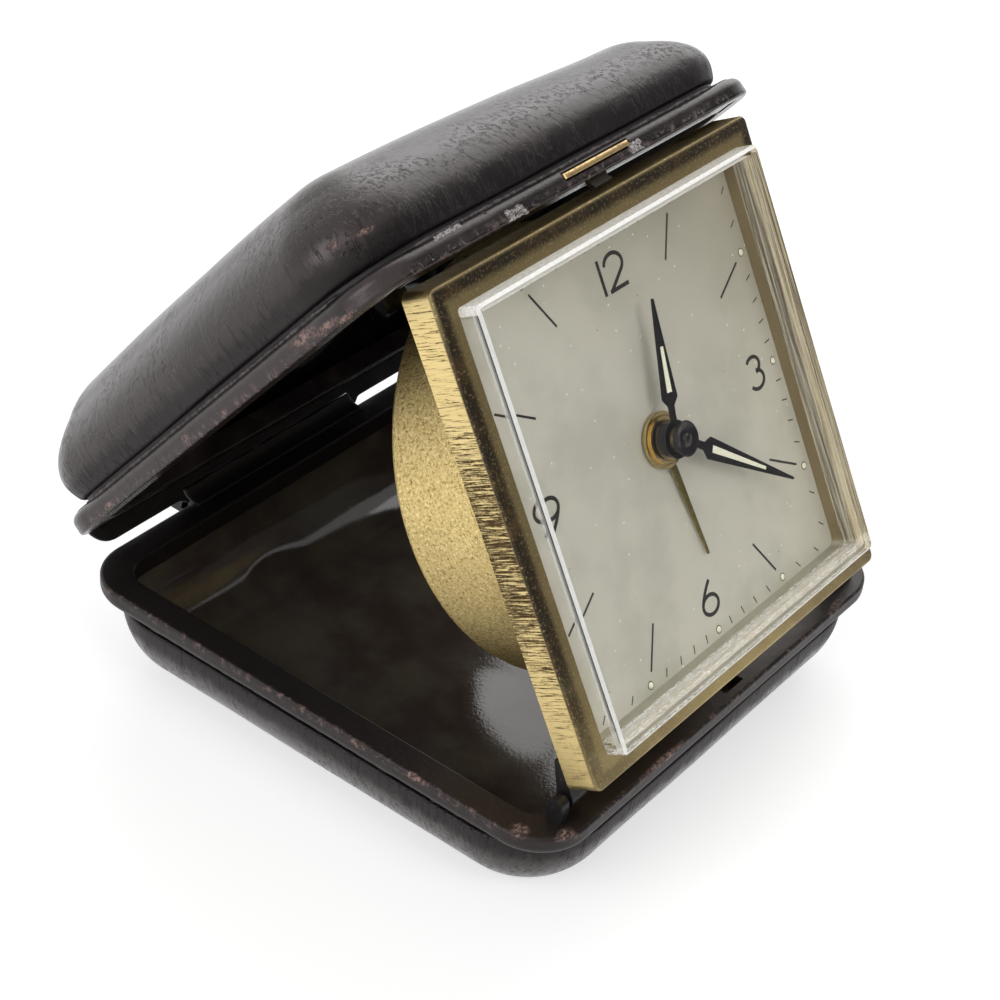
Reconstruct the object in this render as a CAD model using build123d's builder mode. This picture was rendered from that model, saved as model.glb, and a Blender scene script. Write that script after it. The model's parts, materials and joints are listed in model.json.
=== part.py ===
"""Folding travel alarm clock: a square brass clock that stands in a leather covered clamshell case.

Millimetres, +Z up. The origin is the centre of the flat that the lower half rests on, +X is to the
right of someone facing the dial, and +Y runs back to the case hinge. The case stands open and the
clock leans back, as it would on a bedside table.
"""

import os
from math import cos, pi, radians, sin, tan

from build123d import *

# Case halves, both alike, measured from the lip plane where they meet
CASE_X = 75.7
CASE_Y = 77.0
CASE_CORNER = 7.3
CASE_DEPTH = 15.2
LIP_BAND = 2.8
LIP_ROUND = 0.45
LIP_SHOULDER = 1.3
FLANGE = 4.1
FLANGE_CORNER = 4.0
FLANGE_ROUND = 0.4
GROOVE = 0.8
DOME_INSET = 0.75
DOME_CORNER = 11.5
DOME_ROUND = 11.0
LEATHER = 0.7
PAN = 0.5
LINER = 0.5

# Rear hinge of the case
HINGE_Y = 42.1
HINGE_DROP = 1.1
HINGE_LENGTH = 33.0
LID_OPEN = 50.2
BARREL_R = 1.7
LEAF = 0.8
KNUCKLES = 5
KNUCKLE_GAP = 0.3
PIN_R = 0.7
RUNNING = 0.06
RIVET_R = 0.35
RIVET_HEAD_R = 0.6
RIVET_HEAD = 0.35
RIVET_PITCH = 13.0
RIVET_RISE = 1.3

# Clock head: plate size, lean, and where its lower front edge stands
LEAN = 61.1
PLATE_X = 62.0
PLATE_V = 61.4
PLATE_T = 4.5
PLATE_CORNER = 1.0
PLATE_ROUND = 0.35
FOOT_Y = -39.6
FOOT_RISE = 5.9
BORDER = 3.2
CRYSTAL_RISE = 3.0
CRYSTAL_SEAT = 1.5
CRYSTAL_WALL = 1.8
CRYSTAL_FRONT = 1.3
CRYSTAL_CORNER = 1.2
CRYSTAL_BEVEL = 0.8
SIGHT_STEP = 1.1
DIAL_FACE = -3.1
DIAL_T = 0.4
REAR_T = 0.8
BACK_MARGIN = 1.6
FIT = 0.1

# Pivot of the clock head, from the plate's lower edge and its front face
PIVOT_BELOW = 0.97
PIVOT_W = -5.7
PIVOT_R = 0.6
LUG_X = (28.2, 30.9)
EAR_X = (31.5, 32.9)
EAR_R = 1.1
LUG_R = 1.15
LUG_TAB = 3.4
TENON = 2.0

# Movement can and plates, as distances behind the plate's front face
CAN_R = 28.2
CAN_WALL = 0.6
CAN_BACK = -19.8
CAN_EDGE = 0.8
FRONT_PLATE = (-7.0, -6.0)
BACK_PLATE = (-17.2, -16.2)
PLATE_R = 24.0
PILLAR_R = 1.4
PILLAR_RING = 22.0
PILLAR_ANGLES = (90, 215, 325)
POST_R = 1.2
POST_RING = 19.0
POST_ANGLES = (50, 170, 290)
MOTION_OPENING = 15.0
SCREW_R = 0.7
SCREW_HEAD = 0.7
SCREW_GRIP = 1.4
SCREW_SLOT = (0.4, 0.35)
ARBOR_R = 0.5
STAFF_R = 0.3
KEY_ARBOR_R = 1.2

# Tooth form: share of the pitch that is metal, and heights in modules
TOOTH_SHARE = 0.42
TOOTH_TIP = 0.85
TOOTH_ROOT = 1.2
TOOTH_SLOPE = 20.0
PINION_TEETH = 12
WINDOW_RING = 0.56
WINDOW_SIZE = 0.24
WINDOWS = 5

# Wheel modules and teeth
MOTION_MODULE = 0.3
CANNON_TEETH = 10
MINUTE_TEETH = 30
MINUTE_PINION_TEETH = 8
HOUR_TEETH = 32
ALARM_TEETH = 64
ALARM_PINION_TEETH = 12
GREAT_MODULE = 0.3
GREAT_TEETH = 60
CENTRE_PINION_TEETH = 10
TRAIN_MODULE = 0.25
CENTRE_TEETH = 64
TRAIN_PINION_TEETH = 8
THIRD_TEETH = 60
ESCAPE_MODULE = 0.22
FOURTH_TEETH = 60
ESCAPE_PINION_TEETH = 7
ESCAPE_TEETH = 15
ESCAPE_R = 3.6
ESCAPE_ROOT = 0.72
ESCAPE_TIP_LEAN = 4
ESCAPE_HEEL = (0.97, 7)

# Levels of the wheels, pinions and pipes behind the plate's front face
CANNON_SPAN = (-5.6, -5.1)
MINUTE_WHEEL_SPAN = (-5.5, -5.2)
MINUTE_PINION_SPAN = (-5.2, -4.5)
HOUR_WHEEL_SPAN = (-4.9, -4.6)
ALARM_WHEEL_SPAN = (-4.2, -3.9)
ALARM_PINION_SPAN = (-4.4, -3.8)
CENTRE_WHEEL_SPAN = (-8.4, -8.0)
CENTRE_PINION_SPAN = (-10.9, -9.7)
CENTRE_PIPE_SPAN = (-11.4, -7.4)
THIRD_PINION_SPAN = (-8.8, -7.6)
THIRD_WHEEL_SPAN = (-13.8, -13.4)
FOURTH_PINION_SPAN = (-14.2, -13.0)
FOURTH_WHEEL_SPAN = (-9.6, -9.2)
ESCAPE_PINION_SPAN = (-10.0, -8.8)
ESCAPE_WHEEL_SPAN = (-12.4, -12.1)
LEVER_SPAN = (-12.4, -12.0)
BALANCE_SPAN = (-8.7, -8.0)
HAIRSPRING_SPAN = (-9.6, -9.2)
GREAT_WHEEL_TOP = -10.0
HAMMER_SPAN = (-13.0, -12.2)
HAMMER_HEAD_SPAN = (-14.0, -11.0)
CANNON_R = 0.9
HOUR_PIPE = (0.97, 1.5)
ALARM_PIPE = (1.57, 2.1)
STUD_LENGTH = 1.6

# Directions from one arbor to the next, in degrees on the dial side
MINUTE_DIRECTION = 200
ALARM_SET_DIRECTION = 20
BARREL_DIRECTION = 205
THIRD_DIRECTION = 75
FOURTH_DIRECTION = 165
ESCAPE_DIRECTION = 190
LEVER_REACH = 4.6
BALANCE_AT = (-18.2, 1.5)
BALANCE_R = 4.2
BALANCE_RIM = 0.8
BALANCE_SPOKE = 0.9
BALANCE_HUB_R = 1.0
HAIR_R = 3.4
HAIR_TURNS = 7
HAIR_BAND = 0.12
LEVER_BODY = (3.0, 0.8)
LEVER_BODY_AT = 1.1
LEVER_ARMS = (0.8, 3.6)
FORK_PRONG = (1.0, 0.4)
FORK_AT = (2.6, 0.6)
FORK_BRIDGE = (0.5, 1.6)
FORK_BRIDGE_AT = 1.9
ALARM_BARREL_AT = (11.2, -5.2)
ALARM_DRUM_R = 7.8
DRUM_R = 8.2
DRUM_WALL = 0.5
SPRING_TURNS = 6
SPRING_BAND = 0.3
SPRING_START = 0.5
SPRING_ROOM = 0.3
DRUM_SPAN = (-15.6, -10.6)
HAMMER_AT = (16.5, 8.5)
HAMMER_ARM = 5.0
HAMMER_DIRECTION = 115
HAMMER_W = 1.2
HAMMER_HEAD_R = 1.3
STOP_AT = (13.5, 13.5)
STOP_R = 1.25
STOP_PROUD = 1.3
STOP_INSIDE = 1.5
STOP_ROUND = 0.4
REGULATOR_ARC = 15
REGULATOR_ARM = 4.0
REGULATOR_DIRECTION = 60
REGULATOR_W = 1.2
REGULATOR_T = 0.5
REGULATOR_PIN = (0.5, 0.8)
REGULATOR_SLOT = (10, 1.8)

# Hands: angle clockwise from twelve, length, and height over the plate's front face
HOUR_HAND = (11.0, 17.0, -0.5)
MINUTE_HAND = (126.5, 22.2, 0.5)
ALARM_HAND = (173.5, 16.0, -2.7)
HAND_T = 0.25
HAND_NECK = 1.0
HAND_SHOULDER = 2.8
HAND_SHOULDER_AT = 5.0
HAND_FLARE = 1.0
HAND_TIP = 0.3
MINUTE_BOSS_R = 1.9
HOUR_COLLET = (2.35, 1.3)
ALARM_RING = (3.5, 0.45)
ALARM_RING_TOP = (2.9, 0.7)
CAP_R = 2.2
CAP_T = 0.5
CAP_ROUND = 0.35

# Knobs and keys on the can's back
KNOB_BACK = -21.2
KNOB_GAP = 0.3
SET_KNOB_R = 2.8
ALARM_KNOB_R = 2.2
KNOB_NOTCHES = 16
KNOB_NOTCH_R = 0.25
KEY_WING = 4.6
KEY_WING_T = 1.2
KEY_HUB_R = 2.0
KEY_BEVEL = 0.3

# Catch in the front lip, a little to the right of the middle; its hook goes under the strike's ledge
CATCH_AT = 2.5
CATCH_X = 12.6
CATCH_T = 0.8
CATCH_DEPTH = 2.2
CATCH_PROUD = 0.15
CATCH_TRAVEL = 0.8
CATCH_RISE = 1.2
TONGUE_X = 3.4
TONGUE_T = 0.7
TONGUE_DROP = 1.1
HOOK = 0.25
HOOK_T = 0.35
CATCH_ROOM = 0.2
CATCH_ROUND = 0.3
CATCH_SPRING_T = 0.25
CATCH_SPRING_GAP = 0.6
STRIKE_MARGIN = 1.5
STRIKE_SETBACK = (3.4, 0.8)
STRIKE_DEPTH = 1.6
STRIKE_ROOM = 0.3
STRIKE_WALL = 0.2
LEDGE = 0.3
LEDGE_T = 0.45

LIP = CASE_DEPTH
lid_turn = radians(LID_OPEN)
lean = radians(LEAN)

# Frames: each half looks from its lip plane towards its crown, the clock along its dial
BASE = Plane(origin=(0, 0, LIP), x_dir=(1, 0, 0), z_dir=(0, 0, -1))
LID = Plane(
    origin=(
        0,
        HINGE_Y - HINGE_Y * cos(lid_turn) + HINGE_DROP * sin(lid_turn),
        LIP - HINGE_DROP + HINGE_Y * sin(lid_turn) + HINGE_DROP * cos(lid_turn),
    ),
    x_dir=(1, 0, 0),
    z_dir=(0, sin(lid_turn), cos(lid_turn)),
)
CLOCK = Plane(
    origin=(0, FOOT_Y + PLATE_V / 2 * cos(lean), LIP + FOOT_RISE + PLATE_V / 2 * sin(lean)),
    x_dir=(1, 0, 0),
    z_dir=(0, -sin(lean), cos(lean)),
)
CLOCK_SIDE = Plane(origin=CLOCK.origin, x_dir=CLOCK.y_dir, z_dir=CLOCK.x_dir)
LID_SIDE = Plane(origin=LID.origin, x_dir=LID.y_dir, z_dir=LID.x_dir)
ROOM_SIDE = Plane(origin=(0, 0, LIP), x_dir=(0, 1, 0), z_dir=(1, 0, 0))

pivot_v = -PLATE_V / 2 - PIVOT_BELOW
pivot = CLOCK.from_local_coords(Vector(0, pivot_v, PIVOT_W))


def polar(radius, degrees, centre=(0, 0)):
    """Point at a radius and direction from a centre."""
    return (centre[0] + radius * cos(radians(degrees)), centre[1] + radius * sin(radians(degrees)))


def dome(frame, skin, mode=Mode.ADD):
    """Cushion on a frame: a flat crown whose sides round over to upright walls."""
    start = LIP_BAND + GROOVE
    with BuildSketch(frame.offset(start)) as profile:
        layer_outline(skin)
    solid = extrude(profile.sketch, amount=CASE_DEPTH - start - skin, mode=Mode.PRIVATE)
    crown = solid.faces().sort_by(Axis(frame.origin, frame.z_dir))[-1]
    add(solid.fillet(DOME_ROUND - skin, crown.edges()), mode=mode)


def case_layer(frame, outside, thick, neck):
    """One layer of a case half, with a neck that reaches up to the rim where it has one."""
    dome(frame, outside)
    dome(frame, outside + thick, Mode.SUBTRACT)
    if neck:
        with BuildSketch(frame.offset(LIP_BAND)) as profile:
            layer_outline(outside)
            layer_outline(outside + thick, Mode.SUBTRACT)
        extrude(profile.sketch, amount=GROOVE)


def layer_outline(skin, mode=Mode.ADD):
    """Plan of a case layer at the foot of its dome."""
    inset = 2 * (DOME_INSET + skin)
    RectangleRounded(CASE_X - inset, CASE_Y - inset, DOME_CORNER - skin, mode=mode)


def rim_ring(frame):
    """Leather wrapped rim: a flat flange with a rounded outer lip."""
    with BuildSketch(frame) as profile:
        RectangleRounded(CASE_X, CASE_Y, CASE_CORNER)
        RectangleRounded(CASE_X - 2 * FLANGE, CASE_Y - 2 * FLANGE, FLANGE_CORNER, mode=Mode.SUBTRACT)
    extrude(profile.sketch, amount=LIP_BAND)


def rim_edges(part, frame, outer, lip):
    """Edges of a rim round its outside or its opening, on the lip plane or by the groove."""
    middle = CASE_X / 2 - FLANGE * 0.7
    chosen = []
    for edge in part.edges():
        spot = frame.to_local_coords(edge @ 0.5)
        lying = abs(frame.z_dir.dot(edge % 0.5)) < 0.01
        outside = max(abs(spot.X), abs(spot.Y)) > middle
        if lying and outside == outer and (spot.Z < LIP_BAND / 2) == lip:
            chosen.append(edge)
    return chosen


def round_rim(rim, frame):
    """Rounds a rim: sharp at the lip, full at the shoulder by the groove, eased at the opening."""
    fillet(rim_edges(rim.part, frame, True, True), LIP_ROUND)
    fillet(rim_edges(rim.part, frame, True, False), LIP_SHOULDER)
    fillet(rim_edges(rim.part, frame, False, True), FLANGE_ROUND)


def box_between(frame, low, high, mode=Mode.ADD):
    """Block between two corners given in a frame."""
    with BuildSketch(frame.offset(low[2])) as profile:
        with Locations(((low[0] + high[0]) / 2, (low[1] + high[1]) / 2)):
            Rectangle(high[0] - low[0], high[1] - low[1])
    extrude(profile.sketch, amount=high[2] - low[2], mode=mode)


def round_bar(plane, span, radius, centre=(0, 0), mode=Mode.ADD):
    """Round bar or hole along a plane's normal, between two distances."""
    with BuildSketch(plane.offset(span[0])) as profile:
        with Locations(centre):
            Circle(radius)
    extrude(profile.sketch, amount=span[1] - span[0], mode=mode)


def toothed(span, teeth, module, phase, centre, bore=0, windows=0):
    """Toothed wheel on the clock's frame, with one tooth centred on the phase angle."""
    pitch_r = module * teeth / 2
    tip_r = pitch_r + TOOTH_TIP * module
    root_r = pitch_r - TOOTH_ROOT * module
    half = TOOTH_SHARE * pi / teeth
    slope = tan(radians(TOOTH_SLOPE))
    tip_half = (half * pitch_r - (tip_r - pitch_r) * slope) / tip_r
    if teeth <= PINION_TEETH:
        flank = [(root_r, -half), (pitch_r, -half), (tip_r, -tip_half)]
    else:
        root_half = (half * pitch_r + (pitch_r - root_r) * slope / 2) / root_r
        flank = [(root_r, -root_half), (tip_r, -tip_half)]
    tooth = flank + [(radius, -angle) for radius, angle in reversed(flank)]
    points = []
    for number in range(teeth):
        middle = radians(phase) + 2 * pi * number / teeth
        for radius, angle in tooth:
            way = middle + angle
            points.append((centre[0] + radius * cos(way), centre[1] + radius * sin(way)))
    with BuildSketch(CLOCK.offset(span[0])) as profile:
        with BuildLine():
            Polyline(*points, close=True)
        make_face()
        with Locations(centre):
            if bore:
                Circle(bore, mode=Mode.SUBTRACT)
            if windows:
                with PolarLocations(pitch_r * WINDOW_RING, windows):
                    Circle(pitch_r * WINDOW_SIZE, mode=Mode.SUBTRACT)
    extrude(profile.sketch, amount=span[1] - span[0])


def driven_phase(direction, teeth):
    """Phase that puts a gap opposite a tooth of the wheel that lies in the other direction."""
    return direction + 180 + 180 / teeth


def staff(centre, radius=ARBOR_R):
    """Arbor between the movement plates, with a fine pivot in each."""
    round_bar(CLOCK, (BACK_PLATE[1] + KNOB_GAP, FRONT_PLATE[0] - KNOB_GAP), radius, centre)
    round_bar(CLOCK, (BACK_PLATE[0] + KNOB_GAP, FRONT_PLATE[1] - KNOB_GAP), STAFF_R, centre)


def hand_blade(angle, length, height, shoulder=HAND_SHOULDER):
    """Tapered hand: narrow neck, shoulder, long taper to the tip."""
    outline = [
        (0, HAND_NECK / 2),
        (HAND_SHOULDER_AT - HAND_FLARE, HAND_NECK / 2),
        (HAND_SHOULDER_AT, shoulder / 2),
        (length, HAND_TIP / 2),
    ]
    outline += [(along, -half) for along, half in reversed(outline)]
    ahead = radians(90 - angle)
    points = [(a * cos(ahead) - h * sin(ahead), a * sin(ahead) + h * cos(ahead)) for a, h in outline]
    with BuildSketch(CLOCK.offset(height)) as profile:
        with BuildLine():
            Polyline(*points, close=True)
        make_face()
    extrude(profile.sketch, amount=HAND_T)


def spiral(centre, inner, outer, turns, band, span):
    """Flat spring: a band wound in half circles that grow from the arbor outwards."""
    step = (outer - inner) / (2 * turns)
    with BuildSketch(CLOCK.offset(span[0])) as profile:
        with BuildLine() as coil:
            near = centre[0] + inner
            for half_turn in range(2 * turns):
                way = 1 if half_turn % 2 == 0 else -1
                far = near - way * 2 * (inner + step * (half_turn + 0.5))
                middle = ((near + far) / 2, centre[1] + way * abs(near - far) / 2)
                ThreePointArc((near, centre[1]), middle, (far, centre[1]))
                near = far
        trace(coil.line, line_width=band)
    extrude(profile.sketch, amount=span[1] - span[0])


def knob(centre, radius):
    """Finger knob with a notched rim, clear of the can's back."""
    with BuildSketch(CLOCK.offset(KNOB_BACK)) as profile:
        with Locations(centre):
            Circle(radius)
            with PolarLocations(radius, KNOB_NOTCHES):
                Circle(KNOB_NOTCH_R, mode=Mode.SUBTRACT)
            Circle(ARBOR_R, mode=Mode.SUBTRACT)
    extrude(profile.sketch, amount=CAN_BACK - KNOB_GAP - KNOB_BACK)


def winding_key(centre):
    """Butterfly key: a round hub with two rounded wings."""
    with BuildSketch(CLOCK.offset(KNOB_BACK)) as profile:
        with Locations(centre):
            Circle(KEY_HUB_R)
            SlotOverall(2 * KEY_WING, KEY_WING_T * 2)
            Circle(KEY_ARBOR_R, mode=Mode.SUBTRACT)
    extrude(profile.sketch, amount=CAN_BACK - KNOB_GAP - KNOB_BACK)
    tips = [edge for edge in edges() if CLOCK.to_local_coords(edge @ 0.5).Z < KNOB_BACK + FIT]
    middle = CLOCK.from_local_coords(Vector(*centre, KNOB_BACK))
    outer = [edge for edge in tips if (edge @ 0.5 - middle).length > KEY_HUB_R]
    chamfer(outer, KEY_BEVEL)


minute_at = polar(MOTION_MODULE * (CANNON_TEETH + MINUTE_TEETH) / 2, MINUTE_DIRECTION)
alarm_set_at = polar(MOTION_MODULE * (ALARM_TEETH + ALARM_PINION_TEETH) / 2, ALARM_SET_DIRECTION)
barrel_at = polar(GREAT_MODULE * (GREAT_TEETH + CENTRE_PINION_TEETH) / 2, BARREL_DIRECTION)
third_at = polar(TRAIN_MODULE * (CENTRE_TEETH + TRAIN_PINION_TEETH) / 2, THIRD_DIRECTION)
fourth_at = polar(TRAIN_MODULE * (THIRD_TEETH + TRAIN_PINION_TEETH) / 2, FOURTH_DIRECTION, third_at)
escape_at = polar(ESCAPE_MODULE * (FOURTH_TEETH + ESCAPE_PINION_TEETH) / 2, ESCAPE_DIRECTION, fourth_at)
balance_way = Vector(BALANCE_AT[0] - escape_at[0], BALANCE_AT[1] - escape_at[1]).normalized()
lever_at = (escape_at[0] + balance_way.X * LEVER_REACH, escape_at[1] + balance_way.Y * LEVER_REACH)

# Lower half of the case
with BuildPart() as base_leather:
    case_layer(BASE, 0, LEATHER, neck=False)

with BuildPart() as base_pan:
    case_layer(BASE, LEATHER, PAN, neck=True)

with BuildPart() as base_liner:
    case_layer(BASE, LEATHER + PAN, LINER, neck=True)

knuckle = (HINGE_LENGTH - KNUCKLE_GAP * (KNUCKLES - 1)) / KNUCKLES
knuckle_starts = [-HINGE_LENGTH / 2 + number * (knuckle + KNUCKLE_GAP) for number in range(KNUCKLES)]
leaf_face = CASE_Y / 2
REAR = Plane(origin=(0, leaf_face, LIP), x_dir=(-1, 0, 0), z_dir=(0, 1, 0))
LID_REAR = Plane(
    origin=LID.from_local_coords(Vector(0, leaf_face, 0)), x_dir=LID.x_dir * -1, z_dir=LID.y_dir
)


def rivet_row(plane, rise, mode=Mode.ADD, heads=True):
    """Row of three rivets, or the holes for them, through a leaf into the rim."""
    with BuildSketch(plane.offset(-LEAF)) as profile:
        with Locations((0, rise)):
            with GridLocations(RIVET_PITCH, 0, 3, 1):
                Circle(RIVET_R)
    extrude(profile.sketch, amount=2 * LEAF, mode=mode)
    if heads:
        with BuildSketch(plane.offset(LEAF)) as profile:
            with Locations((0, rise)):
                with GridLocations(RIVET_PITCH, 0, 3, 1):
                    Circle(RIVET_HEAD_R)
        extrude(profile.sketch, amount=RIVET_HEAD)


with BuildPart() as base_rim:
    rim_ring(BASE)
    round_rim(base_rim, BASE)
    for side in (-1, 1):
        near, far = sorted((side * EAR_X[0], side * EAR_X[1]))
        box_between(BASE, (near, -pivot.Y - EAR_R, 0), (far, -pivot.Y + EAR_R, TENON), Mode.SUBTRACT)
    strike_low = (CATCH_AT - TONGUE_X / 2 - STRIKE_MARGIN, CASE_Y / 2 - STRIKE_SETBACK[0], 0)
    strike_high = (CATCH_AT + TONGUE_X / 2 + STRIKE_MARGIN, CASE_Y / 2 - STRIKE_SETBACK[1], STRIKE_DEPTH)
    box_between(BASE, strike_low, strike_high, Mode.SUBTRACT)
    rivet_row(REAR, -RIVET_RISE, Mode.SUBTRACT, heads=False)

with BuildPart() as strike_plate:
    box_between(BASE, strike_low, strike_high)
    for top, wall in ((0, STRIKE_WALL + LEDGE), (LEDGE_T, STRIKE_WALL)):
        box_between(
            BASE,
            (CATCH_AT - TONGUE_X / 2 - STRIKE_ROOM, strike_low[1] + STRIKE_ROOM, top),
            (CATCH_AT + TONGUE_X / 2 + STRIKE_ROOM, strike_high[1] - wall, TONGUE_DROP + STRIKE_ROOM),
            Mode.SUBTRACT,
        )

with BuildPart() as base_hinge_leaf:
    axis_z = -HINGE_DROP
    box_between(
        REAR,
        (-HINGE_LENGTH / 2, axis_z - BARREL_R, 0),
        (HINGE_LENGTH / 2, axis_z + HINGE_DROP / 2, LEAF),
    )
    for start in knuckle_starts[0::2]:
        with BuildSketch(ROOM_SIDE.offset(start)):
            with Locations((HINGE_Y, axis_z)):
                Circle(BARREL_R)
            with Locations(((leaf_face + LEAF / 2 + HINGE_Y) / 2, axis_z - BARREL_R + LEAF / 2)):
                Rectangle(HINGE_Y - leaf_face - LEAF / 2, LEAF)
        extrude(amount=knuckle)
    round_bar(ROOM_SIDE, (-HINGE_LENGTH, HINGE_LENGTH), PIN_R, (HINGE_Y, axis_z), Mode.SUBTRACT)
    rivet_row(REAR, -RIVET_RISE, Mode.SUBTRACT, heads=False)

with BuildPart() as base_hinge_rivets:
    rivet_row(REAR, -RIVET_RISE)

with BuildPart() as hinge_pin:
    round_bar(ROOM_SIDE, (-HINGE_LENGTH / 2, HINGE_LENGTH / 2), PIN_R, (HINGE_Y, -HINGE_DROP))


def pivot_bracket(near):
    """Ear with a tenon in the rim's flange and a hole for the clock's pivot pin."""
    with BuildSketch(ROOM_SIDE.offset(near)) as profile:
        with Locations((pivot.Y, pivot.Z - LIP)):
            Circle(EAR_R)
        with Locations((pivot.Y, (pivot.Z - LIP - TENON) / 2)):
            Rectangle(2 * EAR_R, pivot.Z - LIP + TENON)
        with Locations((pivot.Y, pivot.Z - LIP)):
            Circle(PIVOT_R + RUNNING, mode=Mode.SUBTRACT)
    extrude(profile.sketch, amount=EAR_X[1] - EAR_X[0])


with BuildPart() as pivot_bracket_left:
    pivot_bracket(-EAR_X[1])

with BuildPart() as pivot_bracket_right:
    pivot_bracket(EAR_X[0])

# Upper half of the case
with BuildPart() as lid_leather:
    case_layer(LID, 0, LEATHER, neck=False)

with BuildPart() as lid_pan:
    case_layer(LID, LEATHER, PAN, neck=True)

with BuildPart() as lid_liner:
    case_layer(LID, LEATHER + PAN, LINER, neck=True)

catch_front = -CASE_Y / 2 - CATCH_PROUD
catch_back = catch_front + CATCH_DEPTH
catch_end = catch_back + CATCH_TRAVEL

with BuildPart() as lid_rim:
    rim_ring(LID)
    round_rim(lid_rim, LID)
    for side in (-1, 1):
        near, far = sorted((side * (EAR_X[0] - FIT * 3), side * (EAR_X[1] + FIT * 3)))
        front = pivot.Y - EAR_R - FIT * 3
        box_between(LID, (near, front, 0), (far, pivot.Y + EAR_R * 2, LIP_BAND), Mode.SUBTRACT)
    pocket_back = catch_end + CATCH_SPRING_GAP
    box_between(
        LID,
        (CATCH_AT - CATCH_X / 2 - CATCH_ROOM, -CASE_Y, CATCH_RISE - CATCH_ROOM),
        (CATCH_AT + CATCH_X / 2 + CATCH_ROOM, pocket_back, CATCH_RISE + CATCH_T + CATCH_ROOM),
        Mode.SUBTRACT,
    )
    box_between(
        LID,
        (CATCH_AT - TONGUE_X / 2 - CATCH_ROOM, catch_back - TONGUE_T - CATCH_ROOM, 0),
        (CATCH_AT + TONGUE_X / 2 + CATCH_ROOM, catch_end + CATCH_ROOM, CATCH_RISE),
        Mode.SUBTRACT,
    )
    rivet_row(LID_REAR, RIVET_RISE, Mode.SUBTRACT, heads=False)

with BuildPart() as catch_bar:
    box_between(
        LID,
        (CATCH_AT - CATCH_X / 2, catch_front, CATCH_RISE),
        (CATCH_AT + CATCH_X / 2, catch_back, CATCH_RISE + CATCH_T),
    )
    front_edges = catch_bar.edges().group_by(Axis(LID.origin, LID.y_dir))[0]
    fillet(front_edges, CATCH_ROUND)
    box_between(
        LID,
        (CATCH_AT - TONGUE_X / 2, catch_back - TONGUE_T, -TONGUE_DROP),
        (CATCH_AT + TONGUE_X / 2, catch_back, CATCH_RISE),
    )
    box_between(
        LID,
        (CATCH_AT - TONGUE_X / 2, catch_back - TONGUE_T - HOOK, -TONGUE_DROP),
        (CATCH_AT + TONGUE_X / 2, catch_back - TONGUE_T, -TONGUE_DROP + HOOK_T),
    )

with BuildPart() as catch_spring:
    box_between(
        LID,
        (CATCH_AT - CATCH_X / 3, pocket_back - CATCH_SPRING_T, CATCH_RISE),
        (CATCH_AT + CATCH_X / 3, pocket_back, CATCH_RISE + CATCH_T),
    )

with BuildPart() as lid_hinge_leaf:
    strap_low = -HINGE_DROP + BARREL_R - LEAF
    box_between(
        LID_REAR,
        (-HINGE_LENGTH / 2, strap_low, 0),
        (HINGE_LENGTH / 2, LIP_BAND - FIT, LEAF),
    )
    for start in knuckle_starts[1::2]:
        with BuildSketch(LID_SIDE.offset(start)):
            with Locations((HINGE_Y, -HINGE_DROP)):
                Circle(BARREL_R)
            with Locations(((leaf_face + LEAF / 2 + HINGE_Y) / 2, strap_low + LEAF / 2)):
                Rectangle(HINGE_Y - leaf_face - LEAF / 2, LEAF)
        extrude(amount=knuckle)
    bore = PIN_R + RUNNING
    round_bar(LID_SIDE, (-HINGE_LENGTH, HINGE_LENGTH), bore, (HINGE_Y, -HINGE_DROP), Mode.SUBTRACT)
    rivet_row(LID_REAR, RIVET_RISE, Mode.SUBTRACT, heads=False)

with BuildPart() as lid_hinge_rivets:
    rivet_row(LID_REAR, RIVET_RISE)

# Clock head
glass_x = PLATE_X - 2 * BORDER
glass_v = PLATE_V - 2 * BORDER
sight_x = glass_x - 2 * SIGHT_STEP
sight_v = glass_v - 2 * SIGHT_STEP
back_x = PLATE_X - 2 * BACK_MARGIN
back_v = PLATE_V - 2 * BACK_MARGIN

with BuildPart() as bezel_frame:
    with BuildSketch(CLOCK.offset(-PLATE_T)):
        RectangleRounded(PLATE_X, PLATE_V, PLATE_CORNER)
    extrude(amount=PLATE_T)
    fillet(bezel_frame.faces().sort_by(Axis(CLOCK.origin, CLOCK.z_dir))[-1].edges(), PLATE_ROUND)
    with BuildSketch(CLOCK.offset(-CRYSTAL_SEAT)):
        RectangleRounded(glass_x, glass_v, CRYSTAL_CORNER)
    extrude(amount=PLATE_T, mode=Mode.SUBTRACT)
    with BuildSketch(CLOCK.offset(-PLATE_T)):
        RectangleRounded(sight_x, sight_v, CRYSTAL_CORNER)
    extrude(amount=PLATE_T, mode=Mode.SUBTRACT)
    with BuildSketch(CLOCK.offset(-PLATE_T)):
        RectangleRounded(back_x, back_v, PLATE_CORNER)
    extrude(amount=PLATE_T + DIAL_FACE, mode=Mode.SUBTRACT)

with BuildPart() as crystal:
    with BuildSketch(CLOCK.offset(-CRYSTAL_SEAT)):
        RectangleRounded(glass_x - FIT, glass_v - FIT, CRYSTAL_CORNER)
    extrude(amount=CRYSTAL_SEAT + CRYSTAL_RISE)
    chamfer(crystal.faces().sort_by(Axis(CLOCK.origin, CLOCK.z_dir))[-1].edges(), CRYSTAL_BEVEL)
    with BuildSketch(CLOCK.offset(-CRYSTAL_SEAT)):
        RectangleRounded(glass_x - 2 * CRYSTAL_WALL, glass_v - 2 * CRYSTAL_WALL, CRYSTAL_CORNER / 2)
    extrude(amount=CRYSTAL_SEAT + CRYSTAL_RISE - CRYSTAL_FRONT, mode=Mode.SUBTRACT)

with BuildPart() as dial:
    with BuildSketch(CLOCK.offset(DIAL_FACE - DIAL_T)):
        RectangleRounded(back_x - FIT, back_v - FIT, PLATE_CORNER)
        Circle(ALARM_PIPE[1] + FIT, mode=Mode.SUBTRACT)
    extrude(amount=DIAL_T)

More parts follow.
